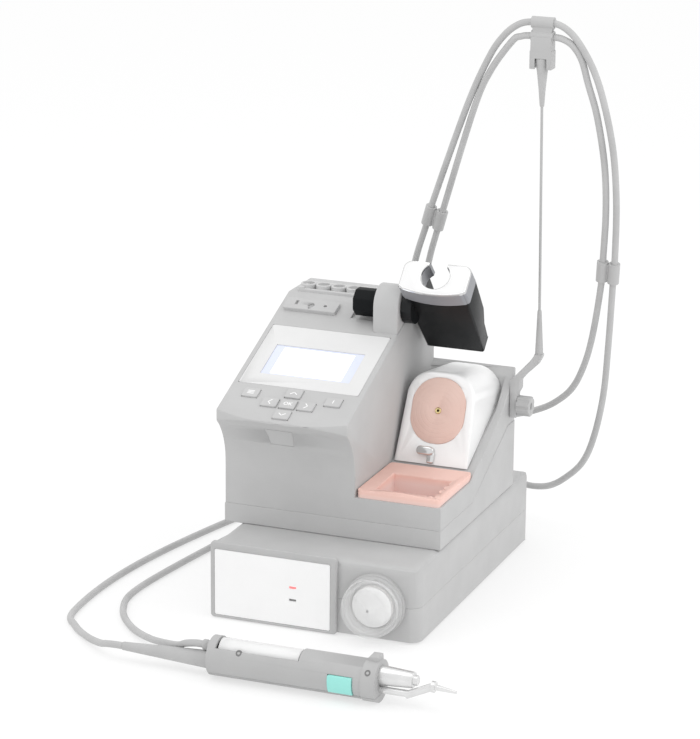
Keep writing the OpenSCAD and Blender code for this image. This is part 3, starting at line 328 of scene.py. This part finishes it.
lcd_margin = surface("lcd_margin", (0.74, 0.78, 0.93), (0.72, 0.76, 0.92), None, (0.4, 0.5), 0.0, specular=0.3)
lcd_lit = surface("lcd_lit", (0.97, 0.98, 1.0), (0.96, 0.97, 1.0), None, (0.2, 0.3), 0.0, glow=0.5)
felt = surface("felt", grey(0.85, 0.02), grey(0.76, 0.03), None, (0.85, 0.95), 0.5, 1200.0)
board = surface("board_green", (0.05, 0.22, 0.10), (0.04, 0.18, 0.08), None, (0.3, 0.4), 0.05)
# %% The tray's tub with painted light and shade
tree = silicone.node_tree
spot = add_node(tree, "ShaderNodeTexCoord")
height = add_node(tree, "ShaderNodeSeparateXYZ", i0=spot.outputs["Object"])
# Painted light and shade: below the rim the colour turns a greyer, paler pink for the way light falls in the recess;
# the silicone itself is one colour.
depth = add_node(tree, "ShaderNodeMapRange", i0=height.outputs[2], i1=0.0815, i2=0.0775, i3=0.0, i4=1.0)
shader = tree.nodes["Principled BSDF"]
outside = shader.inputs["Base Color"].links[0].from_socket
tub = add_node(tree, "ShaderNodeMix", {"data_type": "RGBA"}, i0=depth.outputs[0], i6=outside,
               i7=(0.85, 0.66, 0.62, 1))
tree.links.new(tub.outputs[2], shader.inputs["Base Color"])
print("plastics:", len(bpy.data.materials))

# %% Metals
guard_metal = surface("guard_metal", grey(0.95), grey(0.92), grey(0.98), (0.34, 0.42), 0.03, 2500.0, metal=0.2,
                      lines=True)
cone_metal = surface("cone_metal", grey(0.92), grey(0.80), None, (0.18, 0.26), 0.02, metal=0.8)
fork_top = surface("fork_top", grey(0.80), grey(0.78), grey(0.90), (0.3, 0.38), 0.03, 3000.0, metal=0.15)
# Painted shade: the side band is the same aluminium as the top, given a much darker colour for the shade on faces
# turned down.
fork_shaded_side = surface("fork_shaded_side", (0.30, 0.305, 0.33), (0.32, 0.325, 0.34), grey(0.85), (0.35, 0.45), 0.03, 3000.0,
                    metal=0.3, lines=True)
steel = surface("steel_bright", grey(0.78), grey(0.70), grey(0.9), (0.22, 0.3), 0.03, 3000.0, metal=0.8, lines=True)
rod_metal = surface("rod_metal", grey(0.50), grey(0.46), None, (0.3, 0.4), 0.03, 3000.0, metal=0.3)
chrome = surface("chrome_plate", grey(0.72), grey(0.66), None, (0.08, 0.14), 0.0, metal=1.0)
brass = surface("brass_bright", (0.86, 0.72, 0.38), (0.80, 0.64, 0.30), None, (0.18, 0.26), 0.02, metal=0.9)
iron = surface("core_iron", grey(0.16), grey(0.12), grey(0.3), (0.45, 0.6), 0.1, 900.0, metal=0.8)
print("all materials:", len(bpy.data.materials))


# %% Clear plastic
def clear_plastic(name, tint, rough, cover):
    """Thin clear mouldings hardly bend light, so they only veil what is behind them."""
    material = surface(name, tint, tint, None, (rough, rough + 0.05), 0.01, specular=0.4)
    material.node_tree.nodes["Principled BSDF"].inputs["Alpha"].default_value = cover
    return material


clear = clear_plastic("bowl_clear", grey(0.95), 0.08, 0.22)
collector_glass = clear_plastic("collector_clear", grey(0.97), 0.10, 0.75)
print("clear:", clear.name, collector_glass.name)

# %% [markdown]
# ## The membrane's rings
# The wiping membrane is soft silicone with fine rings moulded round its brass eyelet. Forty tiny grooves in
# the mesh would be heavy, so the rings are a bump: the distance from the eyelet's axis goes through a sine.
# A Mapping node first brings the eyelet's centre to zero and turns the leaning face flat.

# %% Membrane material
GUARD = turned(118.45, 106.5, 84.0, "X", 68.0)
MEMBRANE_S = 35.7
membrane = surface("membrane_silicone", (0.82, 0.60, 0.53), (0.79, 0.56, 0.49), (0.86, 0.66, 0.60), (0.55, 0.68),
                   0.10, 1800.0, specular=0.25)
tree = membrane.node_tree
eyelet_place = TO_FRAME @ GUARD @ Vector((0, MEMBRANE_S, 0))
spot = add_node(tree, "ShaderNodeTexCoord")
shifted = add_node(tree, "ShaderNodeVectorMath", {"operation": "SUBTRACT"}, i0=spot.outputs["Object"],
                   i1=tuple(eyelet_place))
flat = add_node(tree, "ShaderNodeMapping", Vector=shifted.outputs[0], Rotation=(math.radians(-68.0), 0, 0))
split = add_node(tree, "ShaderNodeSeparateXYZ", i0=flat.outputs[0])
joined = add_node(tree, "ShaderNodeCombineXYZ", X=split.outputs[0], Y=split.outputs[1])
reach = add_node(tree, "ShaderNodeVectorMath", {"operation": "LENGTH"}, i0=joined.outputs[0])
RING_STEP = 0.0029
phase = add_node(tree, "ShaderNodeMath", {"operation": "MULTIPLY"}, i0=reach.outputs["Value"],
                 i1=2 * math.pi / RING_STEP)
ring = add_node(tree, "ShaderNodeMath", {"operation": "SINE"}, i0=phase.outputs[0])
groove = add_node(tree, "ShaderNodeMapRange", i0=ring.outputs[0], i1=0.72, i2=1.0, i3=1.0, i4=0.0)
ring_bump = add_node(tree, "ShaderNodeBump", Strength=0.3, Distance=0.0003, Height=groove.outputs[0])
skin_bump = next(n for n in tree.nodes if n.type == "BUMP" and n != ring_bump)
tree.links.new(ring_bump.outputs[0], skin_bump.inputs["Normal"])
print("rings every 2.9 mm round", [round(v, 4) for v in eyelet_place])

# %% [markdown]
# ## Making pieces
# A piece is a bmesh drawn in millimetres. The helper below moves it into the frame, fixes its normals, gives
# it a material and hangs it on its body. Small tools make the shapes: a plate with round corners, a lathe,
# a bar, and a copy of a CAD part with softened edges.

# %% Finish a piece
def finish_piece(name, bm, body, finish, stands_for=(), sharp=38.0, extra=(), in_frame=False):
    bmesh.ops.remove_doubles(bm, verts=bm.verts, dist=1e-6 if in_frame else 1e-3)
    bmesh.ops.recalc_face_normals(bm, faces=bm.faces)
    if not in_frame:
        bm.transform(TO_FRAME)
    mesh = bpy.data.meshes.new(name)
    bm.to_mesh(mesh)
    bm.free()
    obj = bpy.data.objects.new(name, mesh)
    scene.collection.objects.link(obj)
    for material in (finish, *extra):
        mesh.materials.append(material)
    mesh.shade_smooth()
    mesh.set_sharp_from_angle(angle=math.radians(sharp))
    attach(obj, body)
    if stands_for:
        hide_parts(*stands_for)
    return obj


def bevel(bm, edges, width, steps=2, corners=False):
    return bmesh.ops.bevel(bm, geom=edges, offset=width, offset_type="OFFSET", segments=steps, profile=0.5,
                           affect="VERTICES" if corners else "EDGES", material=-1, clamp_overlap=True)


def rim_layer(bm):
    return bm.faces.layers.float.get("rim") or bm.faces.layers.float.new("rim")


def mark_rim(bm, faces):
    layer = rim_layer(bm)
    for face in faces:
        if face.is_valid:
            face[layer] = 1.0


# %% Plate, lathe and bar
def plate(w, d, h, corner=1.0, edge=0.3, steps=3):
    """A slab centred on X and Y, from 0 up to h, with round corners and a softened top."""
    bm = bmesh.new()
    rim_layer(bm)
    bmesh.ops.create_grid(bm, x_segments=1, y_segments=1, size=0.5)
    bmesh.ops.scale(bm, vec=(w, d, 1), verts=bm.verts)
    if corner:
        bevel(bm, bm.verts[:], corner, steps * 2, corners=True)
    grown = bmesh.ops.extrude_face_region(bm, geom=bm.faces[:])
    top = [v for v in grown["geom"] if isinstance(v, bmesh.types.BMVert)]
    bmesh.ops.translate(bm, vec=(0, 0, h), verts=top)
    if edge:
        ring = [e for e in bm.edges if all(v.co.z > h - 1e-4 for v in e.verts)]
        mark_rim(bm, bevel(bm, ring, edge, steps)["faces"])
    return bm


def lathe(profile, steps=72):
    """Spins (radius, height) points round Z."""
    bm = bmesh.new()
    rim_layer(bm)
    points = [bm.verts.new((r, 0, z)) for r, z in profile]
    chain = [bm.edges.new(pair) for pair in zip(points, points[1:])]
    bmesh.ops.spin(bm, geom=points + chain, cent=(0, 0, 0), axis=(0, 0, 1), dvec=(0, 0, 0), angle=2 * math.pi,
                   steps=steps, use_merge=True)
    bmesh.ops.remove_doubles(bm, verts=bm.verts, dist=1e-3)
    return bm


def bar(length, width, height, edge=0.2):
    return plate(length, width, height, corner=min(width, length) * 0.35, edge=edge, steps=2)


def join(target, other, place=Matrix()):
    other.transform(place)
    scrap = bpy.data.meshes.new("scrap")
    other.to_mesh(scrap)
    other.free()
    target.from_mesh(scrap)
    bpy.data.meshes.remove(scrap)
    return target


def placed(bm, place):
    bm.transform(place)
    return bm


# %% A softened copy of a CAD part
def softened(node, body, finish, passes, name=None, sharp=35.0, flats=0.6, paint=None, extra=()):
    """passes are (width in mm, where) pairs; where takes an edge's middle in mm and its length."""
    bm = bmesh.new()
    bm.from_mesh(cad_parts[node].data)
    bm.transform(TO_FRAME.inverted())
    bmesh.ops.remove_doubles(bm, verts=bm.verts, dist=2e-3)
    bmesh.ops.dissolve_limit(bm, angle_limit=math.radians(flats), verts=bm.verts, edges=bm.edges,
                             use_dissolve_boundaries=False, delimit={"NORMAL"})
    rim_layer(bm)
    for width, where in passes:
        chosen = []
        for edge in bm.edges:
            if len(edge.link_faces) == 2 and edge.calc_face_angle(0.0) > math.radians(28):
                middle = (edge.verts[0].co + edge.verts[1].co) / 2
                if where is None or where(middle, edge.calc_length()):
                    chosen.append(edge)
        if chosen:
            made = bmesh.ops.bevel(bm, geom=chosen, offset=width, offset_type="OFFSET", segments=2, profile=0.5,
                                   affect="EDGES", material=-1, clamp_overlap=False)
            mark_rim(bm, made["faces"])
    if paint:
        paint(bm)
    return finish_piece(name or node + "_skin", bm, body, finish, (node,), sharp, extra)


print("tools ready")

# %% [markdown]
# ## The pump module
# The lower box is two mouldings that meet in a seam halfway up. A seam is seen because both edges are
# slightly rounded, so each half is a copy of its CAD part with a small bevel along the joint only.

# %% Pump module halves
def on_seam(p, _):
    return abs(p.z - 24.4) < 0.2 and not (12.5 < p.x < 147.5 and 3 < p.y < 215)


softened("pump_cover", "station", housing, [(0.35, on_seam)])
softened("pump_base", "station", housing, [(0.35, on_seam), (1.0, lambda p, n: p.z < 2 and n > 3)])
softened("panel_frame", "station", trim, [(0.7, lambda p, n: p.y < -0.5)])
softened("front_panel", "station", white_panel, [(0.25, lambda p, n: p.y < -2.5 and n > 3)])
softened("base_feet", "station", boot_skin, [(0.3, lambda p, n: p.z < 0.5)])

# %% [markdown]
# ## Status lights
# Two slots in the white panel show light guides. The upper one glows red and the lower is dark. One CAD node
# holds both guides, so two small plates replace it, one for each colour.

# %% Status lights
FRONT = turned(66.3, -0.95, 28.1, "X", 90.0)
finish_piece("status_light_on", placed(plate(4.5, 1.05, 1.75, 0.4, 0.2), FRONT), "station", light_red,
             ("status_lights",))
low = turned(66.3, -0.95, 19.7, "X", 90.0)
finish_piece("status_light_off", placed(plate(4.5, 1.05, 1.75, 0.4, 0.2), low), "station", light_off)

# %% [markdown]
# ## The filter
# Solder fumes and scraps are caught behind a clear bowl. The bowl is a turned shape with steps, so its wall is
# one closed profile spun round its axis. Grip ribs stand round the back, and a polished cone inside spreads
# the air over the felt.

# %% Filter bowl, ribs and cone
BOWL = facing(122, -3.3, 24.7, (0, -1, 0))
bowl = lathe([(16.7, 0), (19, 0), (19, 3.4), (18.4, 4.0), (18.4, 9.6), (17.8, 10.5), (17.8, 12.6), (17, 13.9),
              (16, 14.6), (14.9, 14.8), (14.6, 13.9), (13.2, 13.9), (12.9, 15.1), (11.8, 15.1), (11.5, 14.1),
              (0, 14.1), (0, 12.4), (14.2, 12.4), (16.2, 10.8), (16.7, 9.0), (16.7, 0)])
rib = plate(1.0, 3.4, 0.55, 0.2, 0.15, 2)
rib.transform(facing(18.35, 0, 6.9, (1, 0, 0)) @ Matrix.Rotation(math.radians(90), 4, "Z"))
ribs = bmesh.new()
for k in range(30):
    copy = rib.copy()
    join(ribs, copy, Matrix.Rotation(math.radians(12 * k), 4, "Z"))
rib.free()
finish_piece("filter_bowl_clear", placed(bowl, BOWL), "filter", clear, ("filter_bowl",))
finish_piece("filter_bowl_ribs", placed(ribs, BOWL), "filter", clear)
cone = lathe([(0, 2.9), (13.3, 2.9), (13.3, 3.8), (12.7, 4.2), (1.2, 11.6), (0.9, 11.8), (0, 11.8)])
finish_piece("filter_cone_plate", placed(cone, BOWL), "filter", cone_metal, ("filter_cone",))
tip = lathe([(0, 11.8), (0.95, 11.8), (0.8, 12.0), (0, 12.0)], 24)
finish_piece("filter_cone_point", placed(tip, BOWL), "filter", mark_dark)
softened("filter_seat", "station", trim, [(0.4, lambda p, n: p.y < -2)])

# %% [markdown]
# ## The control unit's shells
# The upper shell holds the tower, the deck and the bay for the splash guard. Its outline is already right in
# the CAD part, but every real moulding has a radius on its edges, and it is that radius that catches the
# light. A bevel on chosen edges of a copy keeps the exact form and leaves the key holes crisp.

# %% Upper and lower shell
def tower_edges(p, length):
    chin = p.y < 20.2 + (p.x - 46.2) ** 2 / 300 and p.z > 120
    sides = (p.x < 1.3 or (abs(p.x - 91.4) < 0.2 and p.y < 180)) and p.z > 92
    roof = p.z > 179 and (p.x < 1.3 or p.x > 91.2 or p.y > 184) or (p.z > 179 and 145 < p.y < 148)
    foot = p.y < 40.5 and p.x < 1.3
    return chin or sides or roof or foot


def deck_edges(p, length):
    return p.x > 144 and p.z > 70 and length > 3


def seam_edges(p, length):
    on_line = abs(p.z - 63.4) < 0.3 and p.y < 103
    slanted = 102 < p.y < 172 and abs(p.z - (63.4 + (p.y - 102) * 0.4725)) < 1.6
    outside = p.x < 1.4 or p.x > 149.5 or p.y < 40.4
    return outside and (on_line or slanted) and length > 1


softened("upper_shell", "station", housing,
         [(0.7, tower_edges), (0.8, deck_edges), (0.35, seam_edges)])
softened("base_shell", "station", housing,
         [(0.35, seam_edges), (0.8, lambda p, n: p.z < 50.6 and (p.x < 0.5 or p.x > 149.5 or p.y < 40.5))])
softened("port_cover", "station", housing, [(0.25, None)])
softened("extractor_plate", "station", housing, [(0.5, lambda p, n: n > 4)])
softened("holder_bracket", "station", housing, [(1.0, lambda p, n: p.z > 172 and abs(p.x - 82) > 5)])

# %% [markdown]
# ## The display
# A thin light-grey sheet frames the display. The liquid-crystal glass shows an evenly lit field with a
# slightly blue margin, so it is two thin plates, the lit one on top. Nothing is written on it.

# %% Display
def slope(x, s, z=0.0):
    return turned(x, 40, 136.6, "X", 22.0) @ Matrix.Translation((0, s, z))


softened("display_frame", "station", display_sheet, [(0.2, lambda p, n: n > 3)])
margin = placed(plate(61.8, 30.8, 1.0, 0.3, 0.0), slope(46.2, 41.6, -1.6))
finish_piece("display_margin", margin, "station", lcd_margin, ("display_window",))
lit = placed(plate(49.5, 27.6, 0.12, 0.5, 0.0), slope(46.2, 41.4, -0.6))
finish_piece("display_field", lit, "station", lcd_lit)

# %% [markdown]
# ## Keys and their marks
# Seven caps stand a little out of the slope. Each mark is a thin inlay that rides with its key: arrows made
# of two bars, three bars for the menu, and the two usual key letters, which are made as text, turned into a
# mesh, and only then placed.

# %% Key caps
KEYS = {"menu": (-28.5, 4.5), "up": (0, 8.2), "left": (-12.6, -2.8), "enter": (0, -2.8), "right": (12.6, -2.8),
        "down": (0, -13.8), "info": (28.5, 4.5)}
for title, (dx, s) in KEYS.items():
    cap = plate(10.8, 8.6, 3.8, 1.2, 0.45)
    finish_piece("key_%s_cap" % title, placed(cap, slope(46.2 + dx, s, -2.6)), "key_" + title, key_cap,
                 ("key_" + title,))


# %% Key marks
def arrow(size=3.4, thick=0.62):
    bm = bmesh.new()
    for sign in (-1, 1):
        arm = bar(size, thick, 0.05, 0.0)
        arm.transform(Matrix.Translation((sign * size * 0.33, 0, 0))
                      @ Matrix.Rotation(math.radians(-sign * 42), 4, "Z"))
        join(bm, arm)
    return bm


def letters(words, size):
    curve = bpy.data.curves.new("letters", "FONT")
    curve.body = words
    curve.size = size
    curve.extrude = 0.025
    curve.offset = 0.05
    curve.align_x = "CENTER"
    curve.align_y = "CENTER"
    holder = bpy.data.objects.new("letters", curve)
    scene.collection.objects.link(holder)
    bpy.context.view_layer.update()
    mesh = bpy.data.meshes.new_from_object(holder.evaluated_get(bpy.context.evaluated_depsgraph_get()))
    bpy.data.objects.remove(holder)
    bm = bmesh.new()
    bm.from_mesh(mesh)
    bpy.data.meshes.remove(mesh)
    return bm


def mark(title, bm, turn=0.0):
    dx, s = KEYS[title]
    place = slope(46.2 + dx, s, 1.2) @ Matrix.Rotation(math.radians(turn), 4, "Z")
    finish_piece("key_%s_mark" % title, placed(bm, place), "key_" + title, mark_white)


mark("up", arrow())
mark("left", arrow(), 90)
mark("right", arrow(), -90)
mark("down", arrow(), 180)
mark("enter", letters("OK", 4.2))
mark("info", letters("i", 5.2))
menu = bmesh.new()
for row in (-1.3, 0, 1.3):
    join(menu, bar(4.6, 0.6, 0.05, 0.0), Matrix.Translation((0, row, 0)))
mark("menu", menu)
print("keys:", len(KEYS))

# %% [markdown]
# ## Cartridge rack
# Spare tips stand in four wells at the top of the tower. Seen from the front their rims make a scalloped
# line, so each well is a turned cup, and a low block joins the cups to the roof.

# %% Rack
rack = bmesh.new()
for k in range(4):
    cup = lathe([(4.0, 1.8), (4.0, 4.4), (4.4, 4.8), (4.9, 4.8), (5.4, 4.3), (5.4, 0), (0, 0), (0, 1.8),
                 (4.0, 1.8)], 48)
    join(rack, cup, Matrix.Translation((12 + 10.9 * k, 155.5, 179.52)))
for x in (6.75, 56.25):
    join(rack, plate(4.4, 15.6, 3.4, 1.0, 0.7), Matrix.Translation((x + (2.2 if x < 20 else -5.2), 156, 179.52)))
join(rack, plate(48.6, 5.0, 3.6, 1.0, 0.8), Matrix.Translation((31, 162.6, 179.52)))
join(rack, plate(48.6, 2.6, 2.2, 1.0, 0.7), Matrix.Translation((31, 149.6, 179.52)))
finish_piece("cartridge_rack_cups", rack, "station", rack_plastic, ("cartridge_rack",))

# %% [markdown]
# ## The tool holder
# This is the only black and bright part. The fork is machined: a light top face and a bright bevel round it,
# with a side band made darker as painted shade. One mesh can carry several materials, so the faces are sorted
# by the way they look in the holder's own frame.

# %% Fork and body
HOLDER = turned(93.5, 129, 183, "X", 45.6) @ Matrix.Translation((0, -2.2, 29.2))
holder_up = (HOLDER.to_3x3() @ Vector((0, 0, 1))).normalized()


# Painted shade: rim faces take chrome, faces looking up the light top colour, and all others the darker side colour
# that stands for shade.
def paint_fork(bm):
    bm.normal_update()
    layer = rim_layer(bm)
    for face in bm.faces:
        if face[layer] > 0.5:
            face.material_index = 2
        elif face.normal.dot(holder_up) > 0.7:
            face.material_index = 0
        else:
            face.material_index = 1


def top_of_fork(p, length):
    return (HOLDER.inverted() @ p).z > -0.5


softened("holder_fork", "holder", fork_top, [(1.1, top_of_fork)], paint=paint_fork,
         extra=(fork_shaded_side, chrome), sharp=30)
softened("holder_body", "holder", grip_black, [(1.2, lambda p, n: n > 4)])
softened("bracket_knob", "bracket_knob", knob_black, [(0.7, lambda p, n: p.x < 73.3)])

# %% [markdown]
# ## Tip cleaning
# A soft tray, a splash guard with its membrane and a small hook fill the bay on the right. The guard's face
# runs into its sides over a wide radius, and the hole for the membrane has only a small one, so the copy is
# bevelled in two passes.

# %% Tray and splash guard
softened("tip_tray", "tray", silicone, [(1.0, lambda p, n: p.z > 78 and n > 4)])


def guard_face(p, length):
    q = GUARD.inverted() @ p
    inside = (q.x / 20) ** 2 + ((q.y - MEMBRANE_S) / 23.5) ** 2 < 1
    return q.z > -0.3 and not inside and q.y > 0.5


def membrane_hole(p, length):
    q = GUARD.inverted() @ p
    return q.z > -0.3 and (q.x / 19.5) ** 2 + ((q.y - MEMBRANE_S) / 23.0) ** 2 < 1


softened("splash_guard", "guard", guard_metal, [(1.8, guard_face), (0.5, membrane_hole)])
softened("wiper_membrane", "guard", membrane, [(0.3, lambda p, n: (GUARD.inverted() @ p).z > 0)])

# %% Eyelet and hook
EYELET = GUARD @ Matrix.Translation((0, MEMBRANE_S, -1.5))
eyelet = lathe([(0.8, 0), (0.8, 2.2), (1.0, 2.45), (1.6, 2.5), (2.0, 2.2), (2.08, 1.8), (2.08, 0), (0.8, 0)], 32)
finish_piece("eyelet_ring", placed(eyelet, EYELET), "guard", brass, ("wiper_eyelet",))
hook = bmesh.new()
join(hook, plate(11.9, 5.9, 4.9, 2.6, 1.3), GUARD @ Matrix.Translation((-4.0, 8.5, 0.05)))
join(hook, plate(4.9, 7.4, 3.1, 1.2, 1.0), GUARD @ Matrix.Translation((-0.1, 4.3, 0.05)))
finish_piece("hook_lever_plated", hook, "guard", chrome, ("hook_lever",))
print("bay pieces done")

# %% [markdown]
# ## The cable stand
# A flat arm with a lobed knob carries a thin spring rod, and two rubber boots soften its ends. A turned shape
# suits the boots, while the arm, the knob and the clips keep their CAD form with softened edges.

# %% Arm, knob, rod and clips
softened("stand_arm", "station", housing, [(0.6, lambda p, n: n > 3 and p.z < 140)])
softened("stand_knob", "stand_knob", trim, [(0.5, lambda p, n: p.x > 156 and n < 7.5)])
foot, head = Vector((168.1, 178, 146.0)), Vector((165, 178, 345.0))
up = (head - foot).normalized()
low_boot = lathe([(0.95, 0), (2.5, 0), (2.7, 0.4), (2.6, 3), (2.0, 16), (1.4, 29.4), (1.2, 30), (0.95, 30),
                  (0.95, 0)], 40)
high_boot = lathe([(0.95, 0), (4.2, 0), (4.6, 0.8), (3.4, 10), (2.2, 22), (1.55, 31), (1.3, 32), (0.95, 32),
                   (0.95, 0)], 40)
boots = join(placed(low_boot, facing(*foot, up)), placed(high_boot, facing(*head, -up)))
finish_piece("rod_boot_pair", boots, "station", boot_skin, ("rod_boots",))
rod = lathe([(0, 0), (0.9, 0), (0.9, (head - foot).length), (0, (head - foot).length)], 24)
finish_piece("stand_rod_wire", placed(rod, facing(*foot, up)), "station", rod_metal, ("stand_rod",))
softened("top_clip", "station", trim, [(0.4, lambda p, n: n > 2)])
softened("cord_clips", "station", trim, [(0.35, lambda p, n: n > 2)])

# %% [markdown]
# ## The handpiece
# Two shells, a clear collector, a teal trigger, a metal barrel and the bent tip. The shells are softened
# copies, and screws and a sleeve on the hose are added, because those small things tell the eye that
# this is a tool that comes apart.

# %% Handpiece shells and trigger
HAND_Y, HAND_Z = -91.5, 13.2
softened("handpiece_shell", "handpiece", hand_plastic, [(0.5, lambda p, n: n > 2)])
softened("handpiece_base", "handpiece", hand_plastic, [(0.4, lambda p, n: n > 3)])
softened("trigger", "trigger", teal, [(0.6, lambda p, n: n > 3)])
softened("solder_collector", "collector", collector_glass, [(0.6, None)])
inner = lathe([(0, 0), (5.4, 0), (5.4, 16), (0, 16)], 40)
finish_piece("collector_filter", placed(inner, facing(93, HAND_Y, 17.2, (1, 0, 0))), "collector", felt)

# %% Screws, barrel and tip
screws = bmesh.new()
for x in (72, 156):
    direction = Vector((0, -math.cos(math.radians(38)), math.sin(math.radians(38))))
    reach = 12.4 if x < 100 else 13.2
    spot = Vector((x, HAND_Y, HAND_Z)) + direction * (reach - 0.9)
    head_screw = lathe([(0.9, 0.4), (0.9, 0.9), (1.9, 0.9), (2.1, 0.7), (2.1, 0), (0, 0), (0, 0.4), (0.9, 0.4)], 24)
    join(screws, head_screw, facing(*spot, direction))
finish_piece("handpiece_screws", screws, "handpiece", mark_dark)
softened("tool_barrel", "handpiece", steel, [(0.3, None)])
softened("desoldering_tip", "handpiece", steel, [(0.15, lambda p, n: p.x > 160)])
softened("handpiece_boot", "handpiece", boot_skin, [(0.3, lambda p, n: n > 2)])
sleeve = lathe([(2.3, 0), (2.9, 0.3), (3.3, 0.8), (3.3, 3.2), (3.0, 3.6), (2.3, 3.7), (2.3, 0)], 32)
finish_piece("hose_sleeve", placed(sleeve, facing(43.6, -90.5, 18.5, (1, 0, 0))), "handpiece", boot_skin)

# %% [markdown]
# ## The back and the small parts
# The back has the mains inlet, a rocker switch, the cable's gland and the hose's barb. They get the same
# softened edges, and the switch gets the two usual marks.

# %% Back fittings
softened("rear_panel", "station", guard_metal, [(0.3, lambda p, n: n > 5)])
softened("mains_inlet", "station", trim, [(0.4, lambda p, n: p.y > 185 and n > 5)])
softened("power_rocker", "rocker", trim, [(0.5, lambda p, n: n > 4)])
softened("cable_gland", "station", boot_skin, [(0.3, lambda p, n: p.y > 184)])
softened("hose_barb", "station", trim, [(0.2, lambda p, n: p.y > 218)])
softened("case_screws", "station", steel, [(0.3, lambda p, n: p.y > 184 or p.z < 1.5)])
BACK = facing(78, 185.62, 71.3, (0, 1, 0))
marks = join(bmesh.new(), bar(0.6, 3.0, 0.04, 0.0), BACK @ Matrix.Translation((5.5, 0, 0)))
join(marks, lathe([(1.1, 0), (1.6, 0), (1.6, 0.04), (1.1, 0.04), (1.1, 0)], 32),
     BACK @ Matrix.Translation((-5.5, 0, 0)))
finish_piece("rocker_marks", marks, "rocker", mark_white)


# %% Hidden parts keep their CAD shape
def coat(node, material):
    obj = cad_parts[node]
    obj.data.materials.clear()
    obj.data.materials.append(material)


for node, material in {"vacuum_pump": iron, "pump_shaft": steel, "transformer": iron, "main_board": board,
                       "front_board": board, "filter_element": felt, "bowl_seal": boot_skin}.items():
    coat(node, material)
print("coated CAD parts")

# %% [markdown]
# ## The cords' finish
# The cords start at the boxes and end in the handpiece. Each gets the rubber finish, hides its CAD cord and
# has its place baked into its mesh.

# %% Cord finish
for obj in (cable_piece, hose_piece):
    obj.data.materials.append(cord_skin)
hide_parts("tool_cable")
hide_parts("suction_hose")
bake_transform(cable_piece)
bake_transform(hose_piece)

# %% [markdown]
# ## Floor and light
# A plain white floor runs into a white background, and one large soft lamp above gives the forms their
# shading. The floor gives off a little light of its own, so that shadows on it stay faint.

# %% Stage
floor = bmesh.new()
bmesh.ops.create_grid(floor, x_segments=1, y_segments=1, size=6.0)
floor_mesh = bpy.data.meshes.new("stage_floor")
floor.to_mesh(floor_mesh)
floor.free()
floor_object = bpy.data.objects.new("stage_floor", floor_mesh)
scene.collection.objects.link(floor_object)
paper = bpy.data.materials.new("stage_paper")
paper.use_nodes = True
paper_shader = paper.node_tree.nodes["Principled BSDF"]
paper_shader.inputs["Base Color"].default_value = (0.42, 0.42, 0.42, 1)
paper_shader.inputs["Roughness"].default_value = 1.0
paper_shader.inputs["Specular IOR Level"].default_value = 0.0
paper_shader.inputs["Emission Color"].default_value = (1, 1, 1, 1)
paper_shader.inputs["Emission Strength"].default_value = 0.56
floor_mesh.materials.append(paper)

# %% Lights and background
world = bpy.data.worlds.new("studio")
scene.world = world
world.use_nodes = True
world.node_tree.nodes["Background"].inputs["Color"].default_value = (1, 1, 1, 1)
world.node_tree.nodes["Background"].inputs["Strength"].default_value = 1.0


def soft_lamp(name, place, aim, size, power):
    data = bpy.data.lights.new(name, "AREA")
    data.size = size
    data.energy = power
    lamp = bpy.data.objects.new(name, data)
    scene.collection.objects.link(lamp)
    lamp.location = at(*place)
    lamp.rotation_euler = (at(*aim) - at(*place)).to_track_quat("-Z", "Y").to_euler()


soft_lamp("top_lamp", (-300, -300, 1500), (100, 60, 80), 1.2, 4.0)
soft_lamp("right_lamp", (1100, 200, 700), (100, 60, 100), 0.9, 2.0)
scene.view_settings.view_transform = "Standard"
